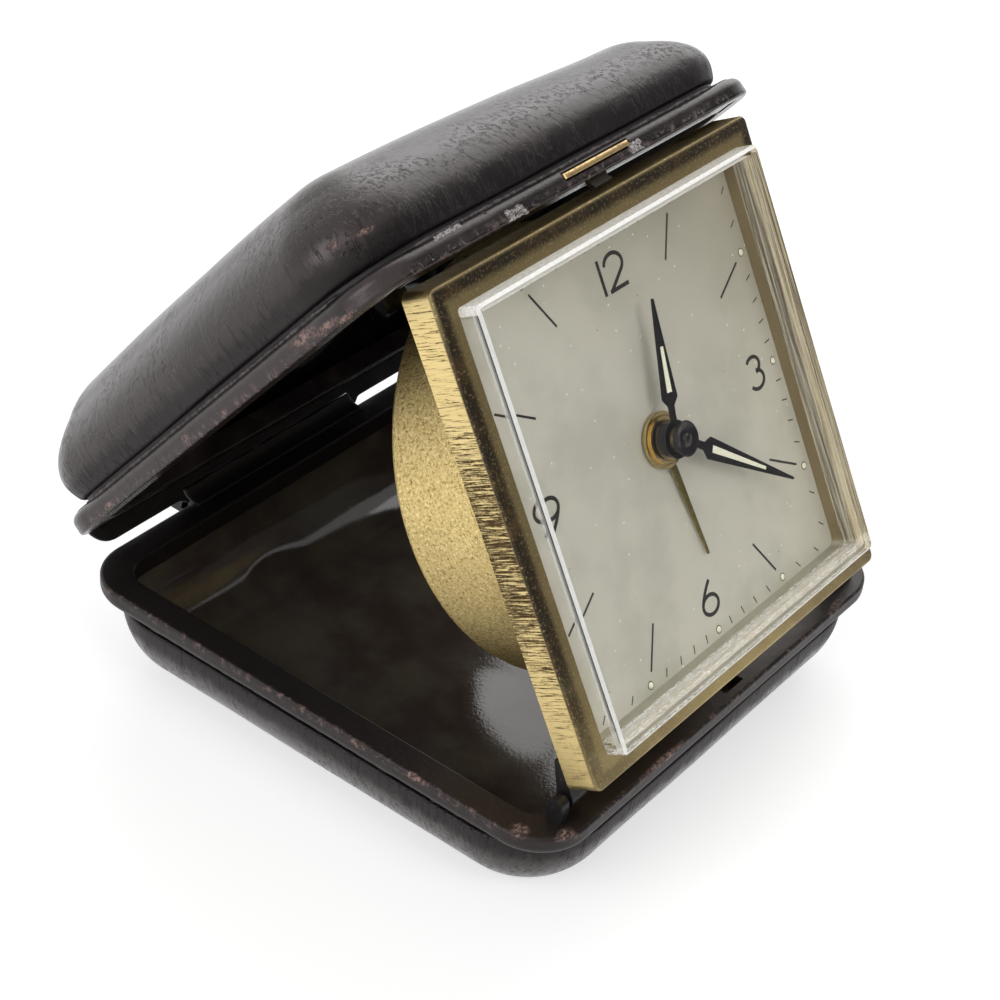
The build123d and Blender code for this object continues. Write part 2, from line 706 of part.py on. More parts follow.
with BuildPart() as rear_plate:
    with BuildSketch(CLOCK.offset(-PLATE_T)):
        RectangleRounded(back_x - FIT, back_v - FIT, PLATE_CORNER)
        Circle(MOTION_OPENING, mode=Mode.SUBTRACT)
    extrude(amount=REAR_T)

with BuildPart() as movement_can:
    round_bar(CLOCK, (CAN_BACK, -PLATE_T), CAN_R)
    fillet(movement_can.faces().sort_by(Axis(CLOCK.origin, CLOCK.z_dir))[0].edges(), CAN_EDGE)
    round_bar(CLOCK, (CAN_BACK + CAN_WALL, -PLATE_T), CAN_R - CAN_WALL, mode=Mode.SUBTRACT)
    holes = [((0, 0), ARBOR_R), (alarm_set_at, ARBOR_R), (STOP_AT, STOP_R)]
    holes += [(barrel_at, KEY_ARBOR_R), (ALARM_BARREL_AT, KEY_ARBOR_R)]
    holes += [(polar(PILLAR_RING, angle), SCREW_R - FIT * 2) for angle in PILLAR_ANGLES]
    with BuildSketch(CLOCK.offset(CAN_BACK)):
        for spot, radius in holes:
            with Locations(spot):
                Circle(radius + FIT * 2)
        with BuildLine() as slot:
            swing = 2 * REGULATOR_ARC + REGULATOR_SLOT[0]
            CenterArc(BALANCE_AT, REGULATOR_ARM, REGULATOR_DIRECTION - swing / 2, swing)
        SlotArc(slot.edges()[0], REGULATOR_SLOT[1])
    extrude(amount=CAN_WALL, mode=Mode.SUBTRACT)

with BuildPart() as can_screws:
    for angle in PILLAR_ANGLES:
        spot = polar(PILLAR_RING, angle)
        round_bar(CLOCK, (CAN_BACK, BACK_PLATE[1] + SCREW_GRIP), SCREW_R, spot)
        round_bar(CLOCK, (CAN_BACK - SCREW_HEAD, CAN_BACK), SCREW_R * 2, spot)
        with BuildSketch(CLOCK.offset(CAN_BACK - SCREW_HEAD)):
            with Locations(spot):
                Rectangle(SCREW_R * 4, SCREW_SLOT[0])
        extrude(amount=SCREW_SLOT[1], mode=Mode.SUBTRACT)


def pivot_lug(near):
    """Lug on the back of the plate that holds a pivot pin just below its lower edge."""
    with BuildSketch(CLOCK_SIDE.offset(near)) as profile:
        with Locations((pivot_v, PIVOT_W)):
            Circle(LUG_R)
        with Locations((pivot_v + LUG_TAB, -PLATE_T - LEAF / 2)):
            Rectangle(LUG_TAB, LEAF)
        make_hull()
        with Locations((pivot_v, PIVOT_W)):
            Circle(PIVOT_R, mode=Mode.SUBTRACT)
    extrude(profile.sketch, amount=LUG_X[1] - LUG_X[0])


with BuildPart() as pivot_lug_left:
    pivot_lug(-LUG_X[1])

with BuildPart() as pivot_lug_right:
    pivot_lug(LUG_X[0])

with BuildPart() as pivot_pins:
    for near, far in ((-EAR_X[1], -LUG_X[0]), (LUG_X[0], EAR_X[1])):
        round_bar(CLOCK_SIDE, (near, far), PIVOT_R, (pivot_v, PIVOT_W))

# Movement plates
arbors = [third_at, fourth_at, escape_at, lever_at, BALANCE_AT, HAMMER_AT]


def movement_plate(span):
    """Round plate with a hole for every arbor and every pillar."""
    with BuildSketch(CLOCK.offset(span[0])) as profile:
        Circle(PLATE_R)
        with Locations(*arbors):
            Circle(STAFF_R + RUNNING, mode=Mode.SUBTRACT)
        with Locations((0, 0), alarm_set_at):
            Circle(ARBOR_R + RUNNING, mode=Mode.SUBTRACT)
        with Locations(barrel_at, ALARM_BARREL_AT):
            Circle(KEY_ARBOR_R + RUNNING, mode=Mode.SUBTRACT)
        with PolarLocations(PILLAR_RING, len(PILLAR_ANGLES), PILLAR_ANGLES[0]):
            Circle(FIT, mode=Mode.SUBTRACT)
    extrude(profile.sketch, amount=span[1] - span[0])


with BuildPart() as front_plate:
    movement_plate(FRONT_PLATE)
    round_bar(CLOCK, (FRONT_PLATE[1], FRONT_PLATE[1] + STUD_LENGTH), ARBOR_R, minute_at)

with BuildPart() as back_plate:
    movement_plate(BACK_PLATE)
    for angle in PILLAR_ANGLES:
        round_bar(CLOCK, BACK_PLATE, SCREW_R, polar(PILLAR_RING, angle), Mode.SUBTRACT)

with BuildPart() as pillars:
    for angle in PILLAR_ANGLES:
        spot = polar(PILLAR_RING, angle)
        round_bar(CLOCK, (BACK_PLATE[1], FRONT_PLATE[0]), PILLAR_R, spot)
        round_bar(CLOCK, (BACK_PLATE[1], BACK_PLATE[1] + SCREW_GRIP), SCREW_R, spot, Mode.SUBTRACT)

with BuildPart() as dial_posts:
    for angle in POST_ANGLES:
        round_bar(CLOCK, (FRONT_PLATE[1], -PLATE_T), POST_R, polar(POST_RING, angle))

# Hands and motion work
with BuildPart() as centre_arbor:
    round_bar(CLOCK, (KNOB_BACK, MINUTE_HAND[2] + HAND_T), ARBOR_R)
    toothed(CANNON_SPAN, CANNON_TEETH, MOTION_MODULE, MINUTE_DIRECTION, (0, 0))
    round_bar(CLOCK, (CANNON_SPAN[0], MINUTE_HAND[2]), CANNON_R)

with BuildPart() as minute_hand:
    hand_blade(*MINUTE_HAND)
    round_bar(CLOCK, (MINUTE_HAND[2], MINUTE_HAND[2] + HAND_T), MINUTE_BOSS_R)
    round_bar(CLOCK, (MINUTE_HAND[2], MINUTE_HAND[2] + HAND_T), ARBOR_R, mode=Mode.SUBTRACT)

with BuildPart() as hand_cap:
    cap_low = MINUTE_HAND[2] + HAND_T
    round_bar(CLOCK, (cap_low, cap_low + CAP_T), CAP_R)
    fillet(hand_cap.faces().sort_by(Axis(CLOCK.origin, CLOCK.z_dir))[-1].edges(), CAP_ROUND)

with BuildPart() as hand_set_knob:
    knob((0, 0), SET_KNOB_R)

with BuildPart() as minute_wheel:
    phase = driven_phase(MINUTE_DIRECTION, MINUTE_TEETH)
    toothed(MINUTE_WHEEL_SPAN, MINUTE_TEETH, MOTION_MODULE, phase, minute_at)
    toothed(MINUTE_PINION_SPAN, MINUTE_PINION_TEETH, MOTION_MODULE, MINUTE_DIRECTION + 180, minute_at)
    through = (MINUTE_WHEEL_SPAN[0], MINUTE_PINION_SPAN[1])
    round_bar(CLOCK, through, ARBOR_R + RUNNING, minute_at, Mode.SUBTRACT)

with BuildPart() as hour_wheel:
    phase = driven_phase(MINUTE_DIRECTION + 180, HOUR_TEETH)
    toothed(HOUR_WHEEL_SPAN, HOUR_TEETH, MOTION_MODULE, phase, (0, 0))
    through = (HOUR_WHEEL_SPAN[0], HOUR_HAND[2] + HAND_T)
    round_bar(CLOCK, through, HOUR_PIPE[1])
    round_bar(CLOCK, through, HOUR_PIPE[0], mode=Mode.SUBTRACT)

with BuildPart() as hour_hand:
    hand_blade(*HOUR_HAND)
    through = (HOUR_HAND[2] - HOUR_COLLET[1], HOUR_HAND[2] + HAND_T)
    round_bar(CLOCK, through, HOUR_COLLET[0])
    round_bar(CLOCK, through, HOUR_PIPE[1], mode=Mode.SUBTRACT)

with BuildPart() as alarm_wheel:
    toothed(ALARM_WHEEL_SPAN, ALARM_TEETH, MOTION_MODULE, ALARM_SET_DIRECTION, (0, 0))
    through = (ALARM_WHEEL_SPAN[0], ALARM_HAND[2] + HAND_T)
    round_bar(CLOCK, through, ALARM_PIPE[1])
    round_bar(CLOCK, through, ALARM_PIPE[0], mode=Mode.SUBTRACT)

with BuildPart() as alarm_hand:
    hand_blade(*ALARM_HAND, shoulder=HAND_NECK)
    step = ALARM_HAND[2] + ALARM_RING[1]
    top = ALARM_HAND[2] + ALARM_RING_TOP[1]
    round_bar(CLOCK, (ALARM_HAND[2], step), ALARM_RING[0])
    round_bar(CLOCK, (step, top), ALARM_RING_TOP[0])
    round_bar(CLOCK, (ALARM_HAND[2], top), ALARM_PIPE[1], mode=Mode.SUBTRACT)

with BuildPart() as alarm_set_arbor:
    round_bar(CLOCK, (KNOB_BACK, ALARM_WHEEL_SPAN[1]), ARBOR_R, alarm_set_at)
    phase = driven_phase(ALARM_SET_DIRECTION, ALARM_PINION_TEETH)
    toothed(ALARM_PINION_SPAN, ALARM_PINION_TEETH, MOTION_MODULE, phase, alarm_set_at)

with BuildPart() as alarm_set_knob:
    knob(alarm_set_at, ALARM_KNOB_R)

# Going train
with BuildPart() as time_barrel:
    phase = driven_phase(BARREL_DIRECTION, GREAT_TEETH)
    toothed((DRUM_SPAN[1], GREAT_WHEEL_TOP), GREAT_TEETH, GREAT_MODULE, phase, barrel_at)
    round_bar(CLOCK, DRUM_SPAN, DRUM_R, barrel_at)
    inside = (DRUM_SPAN[0] + DRUM_WALL, DRUM_SPAN[1])
    round_bar(CLOCK, inside, DRUM_R - DRUM_WALL, barrel_at, Mode.SUBTRACT)
    through = (DRUM_SPAN[0], GREAT_WHEEL_TOP)
    round_bar(CLOCK, through, KEY_ARBOR_R + RUNNING, barrel_at, Mode.SUBTRACT)

with BuildPart() as time_mainspring:
    spring_span = (inside[0] + SPRING_ROOM, inside[1] - SPRING_ROOM)
    outer_turn = DRUM_R - DRUM_WALL - SPRING_ROOM
    spiral(barrel_at, KEY_ARBOR_R + SPRING_START, outer_turn, SPRING_TURNS, SPRING_BAND, spring_span)

with BuildPart() as time_key_arbor:
    round_bar(CLOCK, (KNOB_BACK, FRONT_PLATE[1] - KNOB_GAP), KEY_ARBOR_R, barrel_at)

with BuildPart() as time_winding_key:
    winding_key(barrel_at)

with BuildPart() as centre_wheel:
    toothed(CENTRE_WHEEL_SPAN, CENTRE_TEETH, TRAIN_MODULE, THIRD_DIRECTION, (0, 0), windows=WINDOWS)
    toothed(CENTRE_PINION_SPAN, CENTRE_PINION_TEETH, GREAT_MODULE, BARREL_DIRECTION, (0, 0))
    round_bar(CLOCK, CENTRE_PIPE_SPAN, CANNON_R)
    round_bar(CLOCK, CENTRE_PIPE_SPAN, ARBOR_R + RUNNING, mode=Mode.SUBTRACT)

with BuildPart() as third_wheel:
    staff(third_at)
    phase = driven_phase(THIRD_DIRECTION, TRAIN_PINION_TEETH)
    toothed(THIRD_PINION_SPAN, TRAIN_PINION_TEETH, TRAIN_MODULE, phase, third_at)
    toothed(THIRD_WHEEL_SPAN, THIRD_TEETH, TRAIN_MODULE, FOURTH_DIRECTION, third_at, windows=WINDOWS)

with BuildPart() as fourth_wheel:
    staff(fourth_at)
    phase = driven_phase(FOURTH_DIRECTION, TRAIN_PINION_TEETH)
    toothed(FOURTH_PINION_SPAN, TRAIN_PINION_TEETH, TRAIN_MODULE, phase, fourth_at)
    toothed(FOURTH_WHEEL_SPAN, FOURTH_TEETH, ESCAPE_MODULE, ESCAPE_DIRECTION, fourth_at, windows=WINDOWS)

with BuildPart() as escape_wheel:
    staff(escape_at)
    phase = driven_phase(ESCAPE_DIRECTION, ESCAPE_PINION_TEETH)
    toothed(ESCAPE_PINION_SPAN, ESCAPE_PINION_TEETH, ESCAPE_MODULE, phase, escape_at)
    with BuildSketch(CLOCK.offset(ESCAPE_WHEEL_SPAN[0])):
        with BuildLine():
            teeth = []
            for number in range(ESCAPE_TEETH):
                angle = 360 / ESCAPE_TEETH * number
                teeth.append(polar(ESCAPE_R * ESCAPE_ROOT, angle, escape_at))
                teeth.append(polar(ESCAPE_R, angle + ESCAPE_TIP_LEAN, escape_at))
                teeth.append(polar(ESCAPE_R * ESCAPE_HEEL[0], angle + ESCAPE_HEEL[1], escape_at))
            Polyline(*teeth, close=True)
        make_face()
    extrude(amount=ESCAPE_WHEEL_SPAN[1] - ESCAPE_WHEEL_SPAN[0])

with BuildPart() as pallet_lever:
    staff(lever_at)
    lever_angle = Vector(1, 0).get_angle(balance_way) * (1 if balance_way.Y > 0 else -1)
    with BuildSketch(CLOCK.offset(LEVER_SPAN[0])):
        with Locations(Location((*lever_at, 0), (0, 0, lever_angle))):
            with Locations((LEVER_BODY_AT, 0)):
                SlotOverall(*LEVER_BODY)
            Rectangle(*LEVER_ARMS)
            with Locations(FORK_AT, (FORK_AT[0], -FORK_AT[1])):
                Rectangle(*FORK_PRONG)
            with Locations((FORK_BRIDGE_AT, 0)):
                Rectangle(*FORK_BRIDGE)
    extrude(amount=LEVER_SPAN[1] - LEVER_SPAN[0])

with BuildPart() as balance_wheel:
    staff(BALANCE_AT)
    with BuildSketch(CLOCK.offset(BALANCE_SPAN[0])):
        with Locations(BALANCE_AT):
            Circle(BALANCE_R)
            Circle(BALANCE_R - BALANCE_RIM, mode=Mode.SUBTRACT)
            Rectangle(2 * BALANCE_R - BALANCE_RIM, BALANCE_SPOKE)
            Circle(BALANCE_HUB_R)
    extrude(amount=BALANCE_SPAN[1] - BALANCE_SPAN[0])

with BuildPart() as hairspring:
    spiral(BALANCE_AT, ARBOR_R + FIT, HAIR_R, HAIR_TURNS, HAIR_BAND, HAIRSPRING_SPAN)
    round_bar(CLOCK, HAIRSPRING_SPAN, ARBOR_R + FIT * 2, BALANCE_AT)
    round_bar(CLOCK, HAIRSPRING_SPAN, ARBOR_R, BALANCE_AT, Mode.SUBTRACT)

# Alarm train
with BuildPart() as alarm_barrel:
    through = (DRUM_SPAN[0], GREAT_WHEEL_TOP)
    round_bar(CLOCK, through, ALARM_DRUM_R, ALARM_BARREL_AT)
    round_bar(CLOCK, inside, ALARM_DRUM_R - DRUM_WALL, ALARM_BARREL_AT, Mode.SUBTRACT)
    round_bar(CLOCK, through, KEY_ARBOR_R + RUNNING, ALARM_BARREL_AT, Mode.SUBTRACT)

with BuildPart() as alarm_mainspring:
    outer_turn = ALARM_DRUM_R - DRUM_WALL - SPRING_ROOM
    spiral(ALARM_BARREL_AT, KEY_ARBOR_R + SPRING_START, outer_turn, SPRING_TURNS, SPRING_BAND, spring_span)

with BuildPart() as alarm_key_arbor:
    round_bar(CLOCK, (KNOB_BACK, FRONT_PLATE[1] - KNOB_GAP), KEY_ARBOR_R, ALARM_BARREL_AT)

with BuildPart() as alarm_winding_key:
    winding_key(ALARM_BARREL_AT)

with BuildPart() as alarm_hammer:
    staff(HAMMER_AT)
    head_at = polar(HAMMER_ARM, HAMMER_DIRECTION, HAMMER_AT)
    middle = polar(HAMMER_ARM / 2, HAMMER_DIRECTION, HAMMER_AT)
    with BuildSketch(CLOCK.offset(HAMMER_SPAN[0])):
        with Locations(Location((*middle, 0), (0, 0, HAMMER_DIRECTION))):
            SlotCenterToCenter(HAMMER_ARM, HAMMER_W)
    extrude(amount=HAMMER_SPAN[1] - HAMMER_SPAN[0])
    round_bar(CLOCK, HAMMER_HEAD_SPAN, HAMMER_HEAD_R, head_at)

# Regulator and alarm stop, worked through the can's back
with BuildPart() as regulator_lever:
    tip_at = polar(REGULATOR_ARM, REGULATOR_DIRECTION, BALANCE_AT)
    lever_low = BACK_PLATE[0] - KNOB_GAP - REGULATOR_T
    with BuildSketch(CLOCK.offset(lever_low)):
        middle = polar(REGULATOR_ARM / 2, REGULATOR_DIRECTION, BALANCE_AT)
        with Locations(Location((*middle, 0), (0, 0, REGULATOR_DIRECTION))):
            SlotCenterToCenter(REGULATOR_ARM, REGULATOR_W)
    extrude(amount=REGULATOR_T)
    round_bar(CLOCK, (CAN_BACK - REGULATOR_PIN[1], lever_low), REGULATOR_PIN[0], tip_at)

with BuildPart() as alarm_stop_button:
    round_bar(CLOCK, (CAN_BACK - STOP_PROUD, BACK_PLATE[0] - STOP_INSIDE), STOP_R, STOP_AT)
    fillet(alarm_stop_button.faces().sort_by(Axis(CLOCK.origin, CLOCK.z_dir))[0].edges(), STOP_ROUND)

pieces = {
    "base_leather": base_leather,
    "base_pan": base_pan,
    "base_liner": base_liner,
    "base_rim": base_rim,
    "strike_plate": strike_plate,
    "base_hinge_leaf": base_hinge_leaf,
    "base_hinge_rivets": base_hinge_rivets,
    "hinge_pin": hinge_pin,
    "pivot_bracket_left": pivot_bracket_left,
    "pivot_bracket_right": pivot_bracket_right,
    "lid_leather": lid_leather,
    "lid_pan": lid_pan,
    "lid_liner": lid_liner,
    "lid_rim": lid_rim,
    "catch_bar": catch_bar,
    "catch_spring": catch_spring,
    "lid_hinge_leaf": lid_hinge_leaf,
    "lid_hinge_rivets": lid_hinge_rivets,
    "bezel_frame": bezel_frame,
    "crystal": crystal,
    "dial": dial,
    "rear_plate": rear_plate,
    "movement_can": movement_can,
    "can_screws": can_screws,
    "pivot_lug_left": pivot_lug_left,
    "pivot_lug_right": pivot_lug_right,
    "pivot_pins": pivot_pins,
    "front_plate": front_plate,
    "back_plate": back_plate,
    "pillars": pillars,
    "dial_posts": dial_posts,
    "centre_arbor": centre_arbor,
    "minute_hand": minute_hand,
    "hand_cap": hand_cap,
    "hand_set_knob": hand_set_knob,
    "minute_wheel": minute_wheel,
    "hour_wheel": hour_wheel,
    "hour_hand": hour_hand,
    "alarm_wheel": alarm_wheel,
    "alarm_hand": alarm_hand,
    "alarm_set_arbor": alarm_set_arbor,
    "alarm_set_knob": alarm_set_knob,
    "time_barrel": time_barrel,
    "time_mainspring": time_mainspring,
    "time_key_arbor": time_key_arbor,
    "time_winding_key": time_winding_key,
    "centre_wheel": centre_wheel,
    "third_wheel": third_wheel,
    "fourth_wheel": fourth_wheel,
    "escape_wheel": escape_wheel,
    "pallet_lever": pallet_lever,
    "balance_wheel": balance_wheel,
    "hairspring": hairspring,
    "alarm_barrel": alarm_barrel,
    "alarm_mainspring": alarm_mainspring,
    "alarm_key_arbor": alarm_key_arbor,
    "alarm_winding_key": alarm_winding_key,
    "alarm_hammer": alarm_hammer,
    "regulator_lever": regulator_lever,
    "alarm_stop_button": alarm_stop_button,
}

os.makedirs("parts", exist_ok=True)
for label, piece in pieces.items():
    piece.part.label = label
    export_step(piece.part, f"parts/{label}.step")
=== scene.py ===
"""Looks of a folding travel alarm clock that stands in its leather covered clamshell case.

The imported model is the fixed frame. New pieces are surfaces worked out with numpy in the frames of the
two case halves and of the clock head, and every CAD node that shows gets a material made of nodes.
"""

import json
from math import radians

import bpy
import numpy as np
from bpy.props import FloatProperty, FloatVectorProperty, PointerProperty
from mathutils import Matrix, Vector


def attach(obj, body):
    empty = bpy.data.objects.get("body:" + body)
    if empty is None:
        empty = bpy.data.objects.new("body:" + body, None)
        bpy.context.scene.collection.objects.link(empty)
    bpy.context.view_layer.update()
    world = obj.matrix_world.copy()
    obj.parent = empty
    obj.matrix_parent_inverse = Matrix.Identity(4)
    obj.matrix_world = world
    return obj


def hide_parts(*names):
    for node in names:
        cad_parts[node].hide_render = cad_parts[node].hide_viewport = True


bl_info = {
    "name": "Folding Travel Clock",
    "version": (1, 0, 0),
    "blender": (4, 5, 0),
    "location": "View3D > Sidebar > Travel Clock",
    "description": "Leather, brass, dial print, hands and studio of a folding travel alarm clock",
    "category": "Object",
}

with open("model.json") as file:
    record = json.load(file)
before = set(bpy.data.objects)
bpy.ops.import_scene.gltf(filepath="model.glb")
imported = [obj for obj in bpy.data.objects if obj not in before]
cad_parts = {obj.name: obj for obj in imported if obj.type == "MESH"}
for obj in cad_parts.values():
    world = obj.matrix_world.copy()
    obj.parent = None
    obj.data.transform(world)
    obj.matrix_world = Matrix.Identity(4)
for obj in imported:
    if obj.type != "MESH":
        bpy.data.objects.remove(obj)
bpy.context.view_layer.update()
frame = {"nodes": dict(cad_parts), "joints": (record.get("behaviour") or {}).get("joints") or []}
JOINTS = {joint["name"]: joint for joint in frame["joints"]}
MM = 0.001

# Case halves, in millimetres from the lip plane
CASE_X = 75.7
CASE_Y = 77.0
CASE_DEPTH = 15.2
CASE_CORNER = 7.3
LIP_BAND = 2.8
GROOVE = 0.8
DOME_INSET = 0.75
DOME_CORNER = 11.5
DOME_ROUND = 11.0
DOME_FOOT = LIP_BAND + GROOVE
SKIN = 0.65
ROLL = 0.4
HINGE_Y = 42.1
HINGE_DROP = 1.1
HINGE_HALF = 16.8
COVER_AROUND = 420
LUMP_COUNT = 14
LUMP_SPREAD = 0.16
LUMP_HEIGHT = 0.16
PUCKER_HEIGHT = 0.05

# Padding under a skin: crown height in millimetres for 1, x, y, x*x, y*y and x*y, and the walls' swelling
LID_SWELL = (1.5, -0.49, 0.67, -1.14, -0.81, 1.0, 1.1)
BASE_SWELL = (0.0,) * 7
CROWN_SINK = 0.45
CROWN_SHARP = 4
CROWN_CENTRE = 0.004

# Leather in the grooves, over the hinge and behind the lid
EDGE_AROUND = 900
EDGE_INSET = 1.0
EDGE_THICK = 0.2
EDGE_FRAY = 0.07
TUCK_INSET = 1.25
TUCK_FOOT_INSET = 1.36
TUCK_FOOT_CORNER = DOME_CORNER - 0.6
TUCK_HEIGHTS = (0.06, 0.06, 0.06, 0.5, 1.0)
TUCK_THICK = 0.1
SHEET_THICK = 0.4
HINGE_CURVE_BACK = (37.0, 39.2, 39.75)
HINGE_CURVE_HIGH = (0.25, 0.25, 1.6)
SKIRT_HALF = 33.6
SKIRT_OVER_HINGE = 1.0
SKIRT_HANG = 2.2
SKIRT_SLOT_HANG = 0.7
SKIRT_TOP = 1.2
SKIRT_REAR = 38.78
SKIRT_ROUND = 4.0

# Clock head, in millimetres from the plate's front face
HAND_JOINT_DEPTH = 10
DIAL_FACE = -3.1
INK_LOW, INK_HIGH = DIAL_FACE - 0.01, DIAL_FACE + 0.02
TRACK = 25.4
HOUR_STICK = (19.0, 24.0)
STICK_WIDE = 0.3
TICK_WIDE = 0.16
TICK_HALF = 0.55
DOT_RADIUS = 0.42
DOT_RISE = 0.22
DOT_RIM = 0.47
NUMERAL_WIDE = 1.3
NUMERAL_PITCH = 0.62
NUMERAL_NUDGE = 0.2
NUMERAL_AT = {"12": (0.0, 21.1), "3": (21.5, 0.0), "6": (0.0, -21.1), "9": (-21.5, 0.0)}
# Angle, length and height of each hand, then the filling's start and its end as a share of the length
HANDS = {"minute": (126.5, 22.2, 0.75, 5.5, 0.73), "hour": (11.0, 17.0, -0.25, 5.7, 0.66)}
CAP_AROUND = 72
BLADE_START = 5.0
BLADE_WIDE = 2.8
BLADE_TIP = 0.3
FILLING_SHARE = 0.33
FILLING_LOW, FILLING_HIGH = -0.05, 0.06
CRYSTAL_X, CRYSTAL_Y = 27.8, 27.5
CRYSTAL_CORNER = 0.5
CRYSTAL_AROUND = 640
# Inset and height, from the outer foot over the bevel to the inner foot
CRYSTAL_PROFILE = ((0.0, -1.5), (0.0, 2.6), (0.4, 3.0), (1.0, 1.7), (1.0, -1.5))
CAN_BACK = -19.8
MARK_LOW, MARK_HIGH = CAN_BACK - 0.02, CAN_BACK + 0.05
KEYS_AT = (((-9.516, -4.437), 1), ((11.2, -5.2), -1))
ARROW_RADIUS = 6.2
ARROW_SWEEP = 38
ARROW_WIDE = 0.35
REGULATOR_AT = (-18.2, 1.5)
MARK_REACH = 6.1
MARK_HALF = 0.7
MARK_WIDE = 0.28

# Studio, in metres: each lamp's place, size, share of the key power, and whether reflections show it
AIM = (0, -0.01, 0.045)
LAMPS = {
    "window_lamp": ((0.62, 0.36, 0.6), 0.9, 1.3, True),
    "side_lamp": ((-0.75, 0.1, 0.45), 0.6, 1.0, True),
    "front_lamp": ((-0.15, -0.75, 0.6), 0.4, 0.6, False),
}
FLOOR = [(-3.0, -3.0, 0.0), (3.0, -3.0, 0.0), (3.0, 3.0, 0.0), (-3.0, 3.0, 0.0)]
CARD = [(-0.6, -1.4, 0.0), (1.5, -0.45, 0.0), (1.3, -0.3, 0.9), (-0.5, -1.2, 0.9)]
CAMERA_AT = (-0.201059, -0.139243, 0.200547)
CAMERA_TURN = (54.432376, -4.708429, -52.01552)

# Worn and dented places of the leather, two of the lid's worn places partly painted highlight, and swells of
# the liner: centre and three half sizes in millimetres
LID_SCUFFS = [
    ((-37.7, -24.5, 1.6), (0.9, 3.2, 0.8)),
    ((-37.7, -28.5, 0.9), (0.9, 3.4, 0.6)),
    ((-37.7, -32.0, 0.3), (0.9, 2.4, 0.5)),
    ((-37.7, -5.5, 0.7), (0.7, 0.7, 0.5)),
    ((-37.7, 3.5, 1.2), (0.8, 1.0, 0.6)),
    ((-37.7, 24.4, 0.7), (0.8, 1.6, 0.6)),
    ((-13.8, -38.4, 0.7), (1.9, 0.9, 0.8)),
    ((-24.2, -38.4, 2.9), (2.4, 0.9, 0.5)),
    ((8.9, -38.4, 0.8), (1.2, 0.9, 0.9)),
    # The last two, at the front-left corner, are partly scuffs and partly painted highlight: their whitish
    # flecks stand in for glints on the wrinkles there
    ((-32.9, -36.6, 6.9), (1.9, 1.0, 0.5)),
    ((-35.3, -34.2, 7.6), (0.9, 1.6, 0.5)),
]
LID_DENTS = [
    ((-37.4, -0.7, 9.1), (1.6, 2.2, 1.6)),
    ((-37.4, -6.4, 8.4), (1.6, 1.4, 1.2)),
    ((-1.9, -37.3, 12.4), (2.2, 2.4, 1.6)),
    ((-34.2, -35.4, 6.6), (2.2, 2.6, 2.0)),
]
BASE_SCUFFS = [
    ((-14.9, 38.4, 0.2), (5.2, 0.7, 0.6)),
    ((-38.0, 9.6, 0.5), (0.8, 1.6, 0.7)),
    ((-37.9, 18.4, 0.3), (0.8, 2.0, 0.7)),
    ((-36.5, 33.0, 0.2), (1.4, 1.6, 0.6)),
    ((-33.6, 37.4, 0.2), (1.8, 1.2, 0.6)),
    ((26.4, 37.8, 0.3), (3.0, 0.7, 0.5)),
]
BASE_DENTS = [((-36.9, 24.0, 8.0), (1.4, 2.6, 1.6)), ((10.0, 37.4, 7.0), (3.0, 1.4, 1.2))]
LINER_SWELLS = [((-15.0, 8.0, 13.5), (14.0, 12.0, 6.0)), ((-6.5, -27.5, 13.5), (8.0, 8.0, 6.0))]
# Torn scraps on the lid's front lip: x, z, half width, half height, thickness and seed
TATTERS = (
    (-13.8, 0.75, 1.7, 0.75, 0.32, 3),
    (-24.2, 2.3, 2.3, 0.4, 0.2, 7),
    (9.6, 0.8, 1.2, 0.7, 0.26, 12),
)
TATTER_GRID = (34, 22)


def frame_of(origin, x_axis, z_axis):
    """Matrix of a local frame in metres, from its origin and two of its axes."""
    x_axis, z_axis = Vector(x_axis), Vector(z_axis)
    y_axis = z_axis.cross(x_axis)
    turned = Matrix((x_axis, y_axis, z_axis)).transposed().to_4x4()
    turned.translation = Vector(origin)
    return turned


def clock_frame():
    """Frame of the clock head: across the dial, up the dial, and out of it, from the plate's front face."""
    joint = JOINTS["minute_turn"]
    out = -Vector(joint["axis"]).normalized()
    return frame_of(Vector(joint["pos_m"]) + out * HAND_JOINT_DEPTH * MM, (1, 0, 0), out)


def lid_frame():
    """Frame of the lid: its lip plane, with the third axis towards its crown."""
    back = Vector(JOINTS["catch_press"]["axis"]).normalized()
    crown = Vector((1, 0, 0)).cross(back)
    hinge = Vector(JOINTS["lid_hinge"]["pos_m"])
    return frame_of(hinge - back * HINGE_Y * MM + crown * HINGE_DROP * MM, (1, 0, 0), crown)


CLOCK = clock_frame()
LID = lid_frame()
BASE = frame_of((0, 0, CASE_DEPTH * MM), (1, 0, 0), (0, 0, -1))


def to_row(local, points):
    """Points in millimetres of a local frame, as points of the row frame in metres."""
    turned = np.array(local.to_3x3())
    return points.reshape(-1, 3) * MM @ turned.T + np.array(local.translation)


def grid_faces(rows, columns, wrap, closed=False):
    """Quads of a grid of points.

    It is joined past the last column where it wraps, and past the last row where it is closed.
    """
    lines = np.arange(rows if closed else rows - 1)
    row, column = np.meshgrid(lines, np.arange(columns if wrap else columns - 1), indexing="ij")
    after, below = (column + 1) % columns, (row + 1) % rows
    corners = [(row, column), (row, after), (below, after), (below, column)]
    return np.stack([at_row * columns + at_column for at_row, at_column in corners], axis=-1).reshape(-1, 4)


def build_piece(name, place, points, faces, body, look, smooth=True):
    """Piece from points in millimetres of a local frame and one or more arrays of faces, riding on a body."""
    mesh = bpy.data.meshes.new(name)
    groups = faces if isinstance(faces, list) else [faces]
    corners = [face for group in groups for face in group.tolist()]
    mesh.from_pydata(to_row(place, points).tolist(), [], corners)
    mesh.validate()
    mesh.polygons.foreach_set("use_smooth", np.full(len(mesh.polygons), smooth))
    piece = bpy.data.objects.new(name, mesh)
    bpy.context.scene.collection.objects.link(piece)
    piece.data.materials.append(look)
    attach(piece, body)
    return piece


